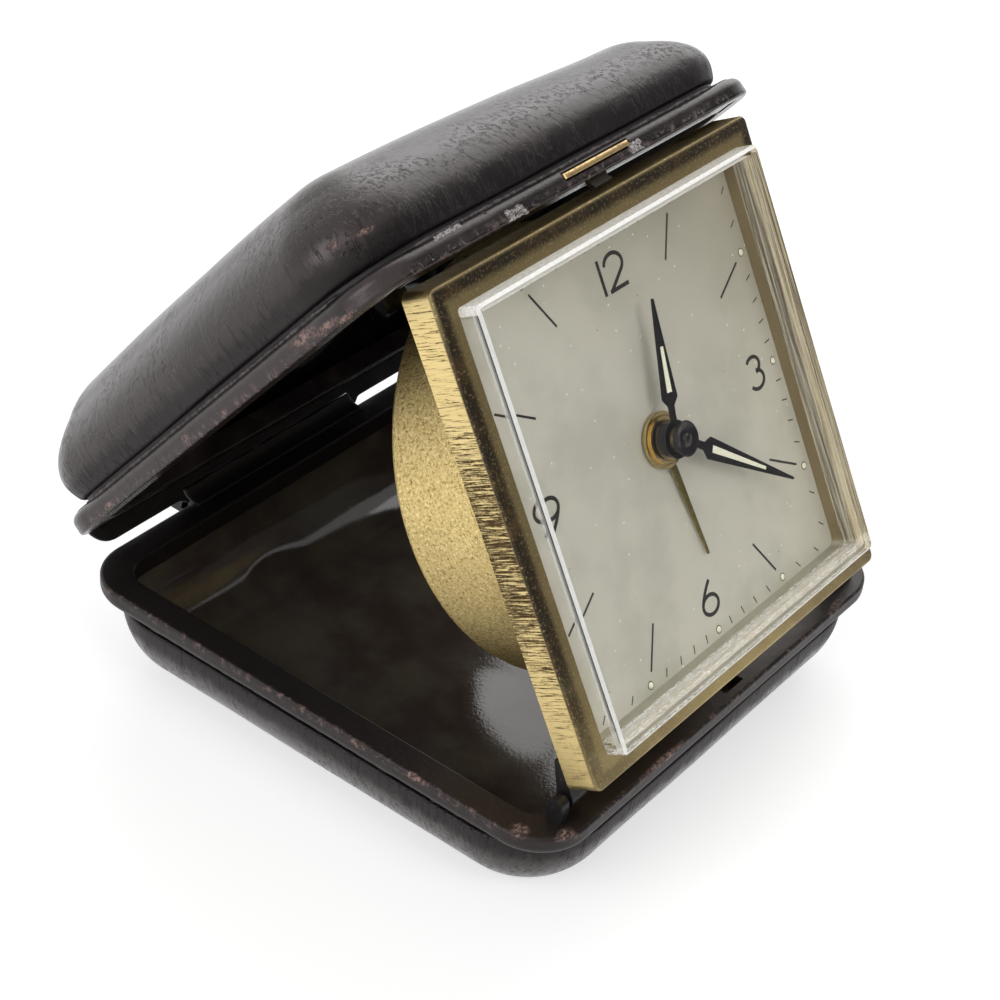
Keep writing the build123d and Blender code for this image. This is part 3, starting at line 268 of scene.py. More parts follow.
def thicken(piece, thick, offset=0):
    """Gives a sheet its thickness in millimetres, half to either side or all to one."""
    wall = piece.modifiers.new("thickness", "SOLIDIFY")
    wall.thickness = thick * MM
    wall.offset = offset


class Wire:
    """What a node gives, for use in sums and products."""

    def __init__(self, graph, socket):
        self.graph = graph
        self.socket = socket

    def __add__(self, other):
        return self.graph.math("ADD", self, other)

    def __sub__(self, other):
        return self.graph.math("SUBTRACT", self, other)

    def __rsub__(self, other):
        return self.graph.math("SUBTRACT", other, self)

    def __mul__(self, other):
        return self.graph.math("MULTIPLY", self, other)

    def __abs__(self):
        return self.graph.math("ABSOLUTE", self)


class Graph:
    """Nodes under construction, with a short call for each kind."""

    def __init__(self, tree):
        self.tree = tree

    def fill(self, socket, value):
        """A socket takes what another node gives, or a plain value. Plain colours are opaque."""
        if isinstance(value, Wire):
            self.tree.links.new(value.socket, socket)
        elif socket.type == "RGBA":
            socket.default_value = (*value[:3], 1.0)
        else:
            socket.default_value = value

    def put(self, kind, output, values, **options):
        """Adds a node, sets its options and its sockets by name or number, and returns one output."""
        node = self.tree.nodes.new("ShaderNode" + kind)
        for name, value in options.items():
            setattr(node, name, value)
        for socket, value in values.items():
            self.fill(node.inputs[socket], value)
        return Wire(self, node.outputs[output])

    def math(self, operation, first, second=0.0):
        """Sum, product or other working of one or two numbers."""
        return self.put("Math", 0, {0: first, 1: second}, operation=operation)

    def most(self, first, *others):
        """Largest of several numbers."""
        for other in others:
            first = self.math("MAXIMUM", first, other)
        return first

    def step(self, value, low, high):
        """Smooth step from 0 at low to 1 at high."""
        values = {"Value": value, "From Min": low, "From Max": high}
        return self.put("MapRange", "Result", values, interpolation_type="SMOOTHSTEP")

    def between(self, factor, low, high):
        """A number from low to high as the factor goes from 0 to 1."""
        return self.put("MapRange", "Result", {"Value": factor, "To Min": low, "To Max": high})

    def seen(self):
        """One for the rays that show a thing: from the camera, in reflections and through glass."""
        kinds = ("Camera", "Glossy", "Transmission")
        return self.most(*(self.put("LightPath", f"Is {kind} Ray", {}) for kind in kinds))


class Look(Graph):
    """A material under construction."""

    def __init__(self, name, **values):
        self.material = bpy.data.materials.new(name)
        self.material.use_nodes = True
        super().__init__(self.material.node_tree)
        self.shader = self.tree.nodes["Principled BSDF"]
        self.finish(**values)

    def finish(self, **values):
        """Sets sockets of the shader, named with underscores for spaces."""
        for name, value in values.items():
            self.fill(self.shader.inputs[name.replace("_", " ")], value)

    def local(self, place):
        """Object coordinates in millimetres of a local frame."""
        values = {"Vector": self.put("TexCoord", "Object", {}), "Scale": (MM, MM, MM)}
        values |= {"Location": place.translation, "Rotation": place.to_euler()}
        return self.put("Mapping", "Vector", values, vector_type="TEXTURE")

    def vector(self, operation, first, second=(0.0, 0.0, 0.0), output="Vector"):
        """Working of one or two vectors."""
        return self.put("VectorMath", output, {0: first, 1: second}, operation=operation)

    def stretch(self, vector, *scale):
        """Vector with its three numbers scaled."""
        return self.vector("MULTIPLY", vector, scale)

    def length(self, vector):
        """Length of a vector."""
        return self.vector("LENGTH", vector, output="Value")

    def parts(self, vector):
        """The three numbers of a vector."""
        first = self.put("SeparateXYZ", "X", {0: vector})
        return [Wire(self, socket) for socket in first.socket.node.outputs]

    def noise(self, vector, scale, detail=3.0, roughness=0.55, distortion=0.0):
        """Cloudy noise round a half."""
        values = {"Vector": vector, "Scale": scale, "Detail": detail}
        return self.put("TexNoise", 0, values | {"Roughness": roughness, "Distortion": distortion})

    def cells(self, vector, scale):
        """Distance to the nearest of scattered points."""
        return self.put("TexVoronoi", "Distance", {"Vector": vector, "Scale": scale})

    def blend(self, factor, first, second):
        """Colour between two colours. Sockets 6 and 7 and output 2 of the node are its colours."""
        return self.put("Mix", 2, {0: factor, 6: first, 7: second}, data_type="RGBA")

    def bump(self, height, distance, strength=1.0, under=None):
        """Relief of a height in metres, over another relief where there is one."""
        values = {"Height": height, "Distance": distance, "Strength": strength}
        return self.put("Bump", "Normal", values if under is None else values | {"Normal": under})

    def spots(self, vector, places, core=0.35):
        """Largest of several soft blobs, each with a centre and three half sizes in millimetres."""
        blobs = []
        for centre, size in places:
            away = self.vector("DIVIDE", self.vector("SUBTRACT", vector, centre), size)
            blobs.append(self.step(self.length(away), 1.0, core))
        return self.most(*blobs)


def dress(look, *nodes):
    """Gives CAD nodes a material."""
    for name in nodes:
        data = frame["nodes"][name].data
        data.materials.clear()
        data.materials.append(look)


def tint(name, description, default):
    """Setting of a colour."""
    return FloatVectorProperty(name=name, description=description, subtype="COLOR", default=default)


class LeatherSettings(bpy.types.PropertyGroup):
    """Leather of the case."""

    colour: tint("Leather", "Colour of the sound leather", (0.0105, 0.0076, 0.0082))
    rubbed: tint("Rubbed", "Colour where the finish is thin", (0.034, 0.026, 0.0255))
    scuffed: tint("Scuffed", "Colour of torn and scuffed edges", (0.36, 0.25, 0.22))
    wear: FloatProperty(
        name="Wear",
        description="How much of the edges is rubbed through",
        subtype="FACTOR",
        min=0,
        max=1,
        default=0.5,
    )


class BrassSettings(bpy.types.PropertyGroup):
    """Brass of the clock head."""

    colour: tint("Brass", "Colour of the bright brass", (0.8, 0.63, 0.3))
    tarnish: tint("Tarnish", "Colour of the darkened brass", (0.027, 0.0185, 0.009))
    can: tint("Can", "Colour of the satin movement can", (0.67, 0.515, 0.22))


class DialSettings(bpy.types.PropertyGroup):
    """Dial and its print."""

    silver: tint("Silver", "Colour of the dial", (0.65, 0.645, 0.58))
    ink: tint("Ink", "Colour of the print", (0.012, 0.011, 0.012))
    glow: tint("Glow", "Colour of the luminous paint", (0.93, 0.93, 0.8))
    numeral: FloatProperty(
        name="Numeral Height",
        description="Height of a numeral",
        unit="LENGTH",
        min=0.002,
        max=0.008,
        default=0.0044,
    )
    stroke: FloatProperty(
        name="Stroke",
        description="Width of a numeral's line",
        unit="LENGTH",
        min=0.0002,
        max=0.001,
        default=0.0005,
    )


class StudioSettings(bpy.types.PropertyGroup):
    """Floor, light and camera."""

    floor: tint("Floor", "Colour of the floor", (0.62, 0.62, 0.62))
    sky: FloatProperty(
        name="Sky", description="Strength of the light from all round", min=0, max=2, default=0.35
    )
    key: FloatProperty(
        name="Key", description="Power of the soft lamps", unit="POWER", min=0, max=20, default=3.6
    )
    lens: FloatProperty(
        name="Lens", description="Focal length", unit="CAMERA", min=20, max=200, default=83.4386
    )


class TravelClockSettings(bpy.types.PropertyGroup):
    """All settings of the travel clock."""

    leather: PointerProperty(type=LeatherSettings)
    brass: PointerProperty(type=BrassSettings)
    dial: PointerProperty(type=DialSettings)
    studio: PointerProperty(type=StudioSettings)


def leather_look(name, place, scuffs, dents, lip_shade):
    """Dark calf: fine pores, grain drawn down the walls, painted shade by the groove, and edges worn to the
    fibre.
    """
    leather = bpy.context.scene.travel_clock.leather
    look = Look(name, IOR=1.4, Specular_Tint=(1.0, 0.9, 0.89))
    spot = look.local(place)
    x, y, z = look.parts(spot)
    drawn = look.noise(look.stretch(spot, 1.0, 1.0, 0.14), 1.7, 4.0, 0.65, 0.5)
    pores = look.noise(spot, 4.2, 4.0, 0.7)
    wrinkle = look.noise(spot, 0.5, 3.0, 0.55, 0.2)
    patch = look.noise(spot, 0.11, 3.0, 0.55, 0.6)
    walls = look.step(abs(x), 28.0, 35.5)
    ends = look.step(abs(y), 31.0, 36.5)
    dash = look.step(drawn, 0.53, 0.62) * look.most(walls, ends)
    dash = dash * (look.step(z, 3.0, 4.0) * look.step(patch, 0.36, 0.56))
    nicks = look.step(look.cells(look.stretch(spot, 1.0, 1.0, 0.5), 0.42), 0.11, 0.05)
    nicks = nicks * look.step(look.noise(spot, 0.16, 1.0), 0.52, 0.62)
    pecks = look.step(look.cells(spot, 1.1), 0.42, 0.3) * look.spots(spot, dents)
    nicks = look.most(nicks, pecks)
    # Painted shade: near black towards the groove with a ragged edge, for the shade at the foot of the walls;
    # the last argument sets how much of it reaches the lip
    groove_shade = look.step(z + (wrinkle - 0.5) * 3.0, 7.4, 5.2)
    groove_shade = groove_shade * look.between(look.step(z, 2.7, 2.9), lip_shade, 1.0)

    edge = look.most(abs(x) - (CASE_X / 2 - 0.6), abs(y) - (CASE_Y / 2 - 0.6))
    torn = look.noise(spot, 0.9, 5.0, 0.72, 0.5)
    thin = look.step(edge, -0.1, 0.55) * look.step(z, 1.6, 0.2) * look.step(torn, 0.5, 0.68)
    ragged = look.step(look.noise(spot, 1.7, 5.0, 0.75), 0.4, 0.6)
    worn = look.most(thin * leather.wear, look.spots(spot, scuffs) * ragged)

    rubbed = look.step(patch + walls * 0.2, 0.35, 0.75)
    sound = look.blend(rubbed, leather.colour, leather.rubbed)
    sound = look.blend(look.step(pores, 0.58, 0.72), sound, (0.035, 0.026, 0.026))
    sound = look.blend(dash * 0.8, sound, (0.005, 0.0035, 0.004))
    # Nicks, and the painted shade by the groove, take the same near black
    sound = look.blend(look.most(nicks, groove_shade), sound, (0.004, 0.003, 0.0034))
    fibre = look.step(look.noise(spot, 2.6, 3.0), 0.35, 0.7)
    fibre = look.blend(fibre, leather.scuffed, (0.2, 0.1, 0.08))
    fibre = look.blend(look.step(pores, 0.6, 0.72), fibre, (0.62, 0.57, 0.53))
    rough = look.between(pores, 0.08, 0.3) + look.most(worn, groove_shade) * 0.3 + dash * 0.12
    relief = look.bump(wrinkle, 0.0003, 0.25)
    relief = look.bump(look.between(dash, 1.0, 0.0), 0.00014, 0.8, relief)
    relief = look.bump(pores, 0.00005, 0.6, relief)
    relief = look.bump(look.most(nicks, worn), -0.00012, 0.8, relief)
    look.finish(Base_Color=look.blend(worn, sound, fibre), Roughness=rough, Normal=relief)
    return look.material


def grained(name, place, noise, colours, rough, relief=None, band=None, **values):
    """Simple material: one noise gives its colour, its gloss and its relief.

    Where there is a band, the colour changes over that part of the noise only.
    """
    look = Look(name, **values)
    grain = look.noise(look.local(place), *noise)
    mixed = look.step(grain, *band) if band else grain
    look.finish(Base_Color=look.blend(mixed, *colours), Roughness=look.between(grain, *rough))
    if relief:
        look.finish(Normal=look.bump(grain, *relief))
    return look.material


def black_calf(name, place):
    """Thin black leather with fine pores."""
    colours = (0.003, 0.0022, 0.0028), (0.012, 0.0085, 0.009)
    return grained(f"{name}_calf", place, (2.2, 4.0, 0.65), colours, (0.4, 0.62), (0.0001, 0.6), IOR=1.4)


def outline_points(count, half_x, half_y, corner):
    """Points and outward normals round a rounded rectangle, evenly spaced along it.

    Each quarter is a straight side and a quarter circle, and the four are the same turned or mirrored, so the
    whole is walked by arc length.
    """
    straight = np.array([2 * (half_y - corner), 2 * (half_x - corner)] * 2)
    bend = np.pi / 2 * corner
    lengths = np.stack([straight, np.full(4, bend)], axis=1).ravel()
    starts = np.concatenate([[0.0], np.cumsum(lengths)])
    walk = np.arange(count) / count * starts[-1]
    leg = np.clip(np.searchsorted(starts, walk, side="right") - 1, 0, 7)
    inside = walk - starts[leg]
    side = leg // 2
    angle = side * np.pi / 2 + np.where(leg % 2 == 1, inside / corner, 0.0)
    normal = np.stack([np.cos(angle), np.sin(angle)], axis=1)
    sign_x = np.array([1, -1, -1, 1])[side]
    sign_y = np.array([1, 1, -1, -1])[side]
    centre = np.stack([sign_x * (half_x - corner), sign_y * (half_y - corner)], axis=1)
    ahead = np.stack([-np.sin(side * np.pi / 2), np.cos(side * np.pi / 2)], axis=1)
    before = np.where(leg % 2 == 0, inside - straight[side], 0.0)
    return centre + normal * corner + ahead * before[:, None], normal


def case_outline(count, inset, corner):
    """Points and outward normals round a case half, a distance inside its lip."""
    return outline_points(count, CASE_X / 2 - inset, CASE_Y / 2 - inset, corner)


def swollen(points, swell):
    """Points of a skin over padding.

    A quadratic in both directions lifts the crown, a soft maximum keeps it above the pan, and the walls swell
    half way up.
    """
    x = points[..., 0] / (CASE_X / 2 - DOME_INSET)
    y = points[..., 1] / (CASE_Y / 2 - DOME_INSET)
    rise = np.clip((points[..., 2] - DOME_FOOT) / (CASE_DEPTH - DOME_FOOT), 0, 1)
    crown = np.stack([np.ones_like(x), x, y, x**2, y**2, x * y], axis=-1) @ np.array(swell[:6])
    if any(swell):
        crown = np.logaddexp(CROWN_SHARP * crown, -CROWN_SHARP * CROWN_SINK) / CROWN_SHARP
    aside = swell[6] * np.sin(np.clip(1.25 * rise, 0, 1) * np.pi)
    return points + np.stack([aside * x, aside * y, crown * np.sin(rise * np.pi / 2)], axis=-1)


def cover_surface(swell, seed):
    """Points and faces of a case half's leather cover in its own frame.

    Down the profile the inset and the height go: crown centre, crown edge, a quarter round of the dome's
    radius, an upright wall, and a small roll inwards at the groove. Across it the outline is walked by arc
    length. Slow sums of sines raise and lower the skin along its normal, and the corners gather in puckers.
    """
    around = COVER_AROUND
    outline, normal = case_outline(around, DOME_INSET, DOME_CORNER)
    share = np.linspace(0.0, 1.0, 30)[:-1]
    turn = np.linspace(np.pi / 2, 0.0, 34)[:-1]
    wall = np.linspace(CASE_DEPTH - DOME_ROUND, DOME_FOOT + ROLL, 3)[:-1]
    roll = np.linspace(0.0, np.pi * 0.62, 9)
    flat_inset, round_inset = np.full(share.size, DOME_ROUND), DOME_ROUND * (1 - np.cos(turn))
    inset = np.concatenate([flat_inset, round_inset, np.zeros(wall.size), ROLL * (1 - np.cos(roll))])
    flat_height = np.full(share.size, CASE_DEPTH)
    round_height = CASE_DEPTH - DOME_ROUND + DOME_ROUND * np.sin(turn)
    height = np.concatenate([flat_height, round_height, wall, DOME_FOOT + ROLL - ROLL * np.sin(roll)])
    lean = [np.zeros(share.size), np.cos(turn), np.ones(wall.size), np.cos(np.clip(roll, 0, 1.4))]
    lean = np.concatenate(lean)[:, None, None]

    def raised(flat, level):
        """Flat points of every row with the row's own level as their third number."""
        return np.concatenate([flat, np.repeat(level, around, axis=1)], axis=2)

    scale = np.concatenate([CROWN_CENTRE + (1 - CROWN_CENTRE) * share, np.ones(inset.size - share.size)])
    flat = (outline[None] - inset[:, None, None] * normal[None]) * scale[:, None, None]
    points = raised(flat, height[:, None, None])
    out = raised(normal[None] * lean, np.sqrt(1 - lean**2))

    maker = np.random.default_rng(seed)
    waves = maker.normal(0, LUMP_SPREAD, (LUMP_COUNT, 3))
    phases = maker.uniform(0, 2 * np.pi, LUMP_COUNT)
    lumps = np.sin(points @ waves.T + phases).mean(axis=2) * LUMP_HEIGHT
    corner = np.abs(normal[:, 0] * normal[:, 1])[None] * 2
    low = np.clip(1 - (points[..., 2] - DOME_FOOT) / 6, 0, 1) * (points[..., 2] > DOME_FOOT + 0.2)
    spread = np.arange(around)[None] / around * 2 * np.pi
    puckers = (np.sin(spread * 97) + 0.6 * np.sin(spread * 61 + 1.3)) * PUCKER_HEIGHT * corner**2 * low
    lift = (lumps + puckers)[..., None] * (1.0 if any(swell) else lean)
    faces = [grid_faces(inset.size, around, True)[:, ::-1], np.arange(around)[None]]
    return swollen(points + out * lift, swell), faces


class TRAVELCLOCK_OT_covers(bpy.types.Operator):
    """Leather skins of both halves, drawn over the pans and rolled in at the groove"""

    bl_idname = "travel_clock.covers"
    bl_label = "Leather Covers"

    def execute(self, context):
        # The last number is how much of the painted shade by the groove reaches the lip: most of it on the
        # base's lip, none on the lid's
        halves = (
            ("base", BASE, BASE_SWELL, 5, BASE_SCUFFS, BASE_DENTS, 0.8),
            ("lid", LID, LID_SWELL, 11, LID_SCUFFS, LID_DENTS, 0.0),
        )
        for half, place, swell, seed, scuffs, dents, lip_shade in halves:
            look = leather_look(f"{half}_calf", place, scuffs, dents, lip_shade)
            points, faces = cover_surface(swell, seed)
            cover = build_piece(f"{half}_cover", place, points, faces, half, look)
            thicken(cover, SKIN, offset=-1)
            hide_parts(f"{half}_leather")
            dress(look, f"{half}_rim")
        return {"FINISHED"}


class TRAVELCLOCK_OT_groove_edges(bpy.types.Operator):
    """Cut leather edge, a rough line along the groove of each half, and the leather tucked under it"""

    bl_idname = "travel_clock.groove_edges"
    bl_label = "Groove Edges"

    def cut_edge(self, half, place, seed, pale):
        """Cord of frayed fibre: a circle carried round the outline, its radius smoothed noise."""
        name, colours = f"{half}_cut_edge", ((0.012, 0.009, 0.009), pale)
        look = grained(name, place, (1.6, 5.0, 0.75), colours, (0.55, 0.85), (0.0002, 0.8), (0.4, 0.66))
        around, across = EDGE_AROUND, 8
        outline, normal = case_outline(around, EDGE_INSET, DOME_CORNER - (EDGE_INSET - DOME_INSET))
        turn = np.linspace(0, 2 * np.pi, across, endpoint=False)[:, None]
        fray = np.tile(np.random.default_rng(seed).normal(0, 1, around), 3)
        fray = np.convolve(fray, np.hanning(7) / 3, "same")[around : 2 * around]
        thick = EDGE_THICK + EDGE_FRAY * fray[None]
        flat = outline[None] + normal[None] * (np.cos(turn) * thick)[..., None]
        high = LIP_BAND + 0.05 + np.sin(turn) * thick * 1.1
        points = np.concatenate([flat, high[..., None]], axis=2)
        faces = grid_faces(across, around, True, closed=True)
        build_piece(name, place, points, faces, half, look)

    def tuck(self, half, place):
        """Tucked leather: in along the rim from under the lip's shoulder, then up behind the groove."""
        wide = case_outline(EDGE_AROUND, TUCK_INSET, CASE_CORNER - TUCK_INSET)[0]
        foot = case_outline(EDGE_AROUND, TUCK_FOOT_INSET, TUCK_FOOT_CORNER)[0]
        flat = np.stack([wide, wide * 0.5 + foot * 0.5, foot, foot, foot])
        high = LIP_BAND + np.array(TUCK_HEIGHTS)[:, None, None] * np.ones((1, EDGE_AROUND, 1))
        points = np.concatenate([flat, high], axis=2)
        faces = grid_faces(len(flat), EDGE_AROUND, True)
        name = f"{half}_tuck"
        piece = build_piece(name, place, points, faces, half, black_calf(name, place))
        thicken(piece, TUCK_THICK)

    def execute(self, context):
        halves = (("base", BASE, 3, (0.03, 0.025, 0.025)), ("lid", LID, 8, (0.15, 0.13, 0.125)))
        for half, place, seed, pale in halves:
            self.cut_edge(half, place, seed, pale)
            self.tuck(half, place)
        return {"FINISHED"}


class TRAVELCLOCK_OT_spine(bpy.types.Operator):
    """Leather over the hinge, and the skirt that hangs from the lid's rear lip"""

    bl_idname = "travel_clock.spine"
    bl_label = "Leather Spine"

    def hinge_cover(self, up):
        """Over the hinge the profile is a quadratic curve from the base's lip up towards the lid."""

        def curve(first, bulge, last):
            """Quadratic curve between two ends, drawn towards a bulge."""
            return (1 - up) ** 2 * first + 2 * up * (1 - up) * bulge + up**2 * last

        along = np.linspace(-1, 1, 70)[None]
        wave = 0.05 * np.sin(along * 9) * up
        back, high = curve(*HINGE_CURVE_BACK), curve(*HINGE_CURVE_HIGH)
        return np.stack([HINGE_HALF * along + 0 * up, -(back + wave), -(high + wave)], axis=2)

    def rear_skirt(self, up):
        """The skirt hangs least over the hinge and most where the slot beside it ends.

        It rounds up at its far ends and follows the lip round the lid's corners.
        """
        x = np.linspace(-SKIRT_HALF, SKIRT_HALF, 260)
        beside = np.abs(x) - HINGE_HALF - 0.2
        slot = np.exp(-((np.clip(beside, 0, None) / 0.9) ** 2))
        hang = np.where(beside < 0, SKIRT_OVER_HINGE, SKIRT_HANG + SKIRT_SLOT_HANG * slot)
        far = np.clip((np.abs(x) - (SKIRT_HALF - SKIRT_ROUND)) / SKIRT_ROUND, 0, 1)
        hang = hang * np.sqrt(1 - 0.96 * far**2) - 0.8 * far**3
        height = SKIRT_TOP - (SKIRT_TOP + hang)[None] * up
        bend = np.clip(np.abs(x) - (CASE_X / 2 - CASE_CORNER), 0, CASE_CORNER)
        drawn_in = CASE_CORNER - np.sqrt(CASE_CORNER**2 - bend**2)
        rear = SKIRT_REAR - drawn_in[None] + 0.08 * np.sin(x * 0.8)[None] * up
        return np.stack([np.broadcast_to(x, height.shape), rear, height], axis=2)

    def execute(self, context):
        up = np.linspace(0, 1, 16)[:, None]
        sheets = (
            ("hinge_cover", BASE, self.hinge_cover(up), "base"),
            ("rear_skirt", LID, self.rear_skirt(up), "lid"),
        )
        for name, place, points, body in sheets:
            faces = grid_faces(points.shape[0], points.shape[1], False)
            piece = build_piece(name, place, points, faces, body, black_calf(name, place))
            thicken(piece, SHEET_THICK)
        return {"FINISHED"}


class TRAVELCLOCK_OT_tatters(bpy.types.Operator):
    """Torn leather round the catch on the lid's front lip"""

    bl_idname = "travel_clock.tatters"
    bl_label = "Torn Leather"

    def scrap(self, x, z, half_x, half_z, thick, seed):
        """Crumpled scrap: a sum of sines, faded out at its edges, lifts it and makes its outline ragged."""
        across, up = np.meshgrid(*(np.linspace(-1, 1, count) for count in TATTER_GRID), indexing="ij")
        maker = np.random.default_rng(seed)
        waves = maker.normal(0, 5.0, (16, 2))
        phases = maker.uniform(0, 2 * np.pi, 16)
        crumple = np.sin(across[..., None] * waves[:, 0] + up[..., None] * waves[:, 1] + phases).mean(axis=2)
        fade = np.clip(1 - across**2, 0, 1) * np.clip(1 - up**2, 0, 1)
        proud = thick * (fade**0.5 * (0.55 + 1.4 * crumple)) - 0.06
        ragged = 1 + 0.35 * crumple
        face = -CASE_Y / 2 - proud + 0.35 * np.clip((z - 1.9) / 0.9, 0, 1)
        points = np.stack([x + half_x * across * ragged, face, z + half_z * up * ragged], axis=2)
        return points.reshape(-1, 3), grid_faces(*TATTER_GRID, False)[:, ::-1]

    def execute(self, context):
        look = Look("torn_leather", Roughness=0.85)
        fibre = look.noise(look.local(LID), 3.2, 5.0, 0.75)
        frayed = look.step(fibre, 0.35, 0.68)
        look.finish(Base_Color=look.blend(frayed, (0.06, 0.045, 0.045), (0.68, 0.65, 0.63)))
        look.finish(Normal=look.bump(fibre, 0.0002, 0.9))
        points, faces = join([self.scrap(*place) for place in TATTERS])
        build_piece("lid_tatters", LID, points, faces, "lid", look.material)
        return {"FINISHED"}


class TRAVELCLOCK_OT_linings(bpy.types.Operator):
    """Glossy moulded liners, blackened pans and hinge steel"""

    bl_idname = "travel_clock.linings"
    bl_label = "Linings and Hinge"

    def liner(self, half, place, dark, pale, waves, swells):
        """Moulded liner: clouded, dusty and glossy, with slow waves and the swells that catch the light."""
        look = Look(f"{half}_lining", IOR=1.5)
        spot = look.local(place)
        cloud = look.noise(spot, 0.08, 4.0, 0.6)
        dust = look.step(look.cells(spot, 0.5), 0.045, 0.02)
        colour = look.blend(look.step(cloud, 0.35, 0.7), dark, pale)
        colour = look.blend(dust, colour, (0.2, 0.17, 0.14))
        relief = look.bump(look.noise(spot, 0.06, 1.0, 0.4), 0.003, waves)
        if swells:
            relief = look.bump(look.spots(spot, swells, 0.0), 0.0009, 1.0, relief)
        relief = look.bump(look.noise(spot, 2.4, 2.0), 0.00002, 0.5, relief)
        look.finish(Base_Color=colour, Roughness=look.between(cloud, 0.05, 0.14), Normal=relief)
        dress(look.material, f"{half}_liner")

    def execute(self, context):
        self.liner("base", BASE, (0.05, 0.036, 0.031), (0.085, 0.074, 0.056), 0.2, LINER_SWELLS)
        # Painted shade: the lid's liner takes a far darker copy of the base liner's colours, for the shade
        # inside the lid
        self.liner("lid", LID, (0.004, 0.003, 0.003), (0.009, 0.007, 0.0065), 0.45, [])

        colours = (0.006, 0.005, 0.005), (0.02, 0.016, 0.015)
        pan = grained("pan_black", BASE, (1.8, 4.0, 0.65), colours, (0.5, 0.75), (0.0001, 0.5))
        dress(pan, "base_pan", "lid_pan")

        steel = Look("hinge_steel")
        spot = steel.local(BASE)
        rust = steel.step(steel.noise(spot, 0.9, 5.0, 0.7), 0.56, 0.7)
        steel.finish(Base_Color=steel.blend(rust, (0.011, 0.01, 0.01), (0.05, 0.028, 0.017)))
        steel.finish(Metallic=steel.between(rust, 0.4, 0.1), Roughness=steel.between(rust, 0.42, 0.75))
        steel.finish(Normal=steel.bump(steel.noise(spot, 5.0, 3.0), 0.00004, 0.5))
        names = "base_hinge_leaf lid_hinge_leaf base_hinge_rivets lid_hinge_rivets hinge_pin strike_plate"
        names += " pivot_bracket_left pivot_bracket_right pivot_lug_left pivot_lug_right pivot_pins"
        dress(steel.material, *names.split())
        return {"FINISHED"}


def glass_reach(look, u, v):
    """Distance from the dial's middle, across or along, evened so that the glass walls lie at one value."""
    return look.most(abs(u), abs(v) + (CRYSTAL_X - CRYSTAL_Y))


def frame_brass():
    """Bezel frame: sawn golden sides with dark lines across them, a face tarnished most along its top with a
    painted highlight on its top edge, and painted light on the glass well's bottom wall.
    """
    brass = bpy.context.scene.travel_clock.brass
    look = Look("frame_brass")
    spot = look.local(CLOCK)
    u, v, w = look.parts(spot)
    side = look.step(w, -0.3, -0.6)
    lines = look.noise(look.stretch(spot, 1.0, 1.0, 0.05), 5.0, 5.0, 0.8)
    fine = look.noise(spot, 4.5, 4.0, 0.75)
    heavy = look.step(abs(v + 1.0), 21.0, 5.0)
    cut = look.step(lines + heavy * 0.115 + (fine - 0.5) * 0.22, 0.565, 0.625) * side

    patch = look.noise(spot, 0.2, 5.0, 0.65, 0.5)
    lean = v + abs(u) * 0.6 + (patch - 0.5) * 36.0
    glass = glass_reach(look, u, v)
    # Painted highlight: a thin bright band along the outer edge of the face's top, where the rounded edge
    # catches the light
    rim = look.step(glass, 30.45, 30.85) * look.step(v, 22.0, 29.0)
    near = look.step(glass + (fine - 0.5) * 1.6, 29.7, 28.7)
    specks = look.step(look.noise(spot, 2.6, 4.0, 0.8), 0.55, 0.64)
    dull = look.between(look.step(lean, -34.0, 8.0), 0.4, 1.0)
    for bright in (rim * 0.25, near * 0.28, specks * 0.38, side):
        dull = dull * (1.0 - bright)
    well = look.step(glass, 27.95, 27.8) * look.step(w, -0.1, -0.4)
    dull = look.most(dull, well)

    gold = look.blend(look.step(lines, 0.35, 0.7), brass.colour, (0.66, 0.5, 0.21))
    gold = look.blend(cut, gold, (0.07, 0.04, 0.016))
    deep = look.blend(look.step(patch, 0.45, 0.75), brass.tarnish, (0.1, 0.06, 0.024))
    deep = look.blend(well, deep, (0.3, 0.235, 0.13))
    # Painted light: the well's bottom wall is pale, for the light from above that it reflects
    deep = look.blend(well * look.step(v, -25.6, -26.2), deep, (0.5, 0.48, 0.4))
    relief = look.bump(cut, -0.0001, 0.8, look.bump(lines, 0.00006, 0.6))
    look.finish(Base_Color=look.blend(dull, gold, deep), Metallic=look.between(dull, 1.0, 0.6))
    look.finish(Roughness=look.between(lines, 0.24, 0.42) + dull * 0.18, Normal=relief)
    return look.material


def can_brass():
    """Satin can: coarse blasted grain, dark in its pits, with faint drifts."""
    brass = bpy.context.scene.travel_clock.brass
    look = Look("can_brass", Metallic=1.0)
    spot = look.local(CLOCK)
    grain = look.noise(spot, 2.6, 5.0, 0.85)
    drift = look.noise(spot, 0.14, 4.0, 0.6, 0.4)
    colour = look.blend(look.step(grain, 0.46, 0.36), brass.can, (0.95, 0.81, 0.47))
    colour = look.blend(look.step(grain, 0.52, 0.62), colour, (0.2, 0.13, 0.045))
    colour = look.blend(look.step(drift, 0.5, 0.8) * 0.4, colour, (0.3, 0.2, 0.07))
    look.finish(Base_Color=colour, Roughness=look.between(grain, 0.36, 0.54))
    look.finish(Normal=look.bump(grain, -0.00016, 0.8))
    return look.material


def trim_brass(name, colour, rough):
    """Brass of small fittings: rubbed bright with darker flecks."""
    look = Look(name, Metallic=1.0)
    spot = look.local(CLOCK)
    flecks = look.noise(spot, 2.6, 5.0, 0.7)
    dark = tuple(value * 0.35 for value in colour)
    look.finish(Base_Color=look.blend(look.step(flecks, 0.5, 0.8), colour, dark))
    look.finish(Roughness=look.between(flecks, rough - 0.06, rough + 0.14))
    look.finish(Normal=look.bump(look.noise(spot, 7.0, 2.0), 0.00002, 0.5))
    return look.material


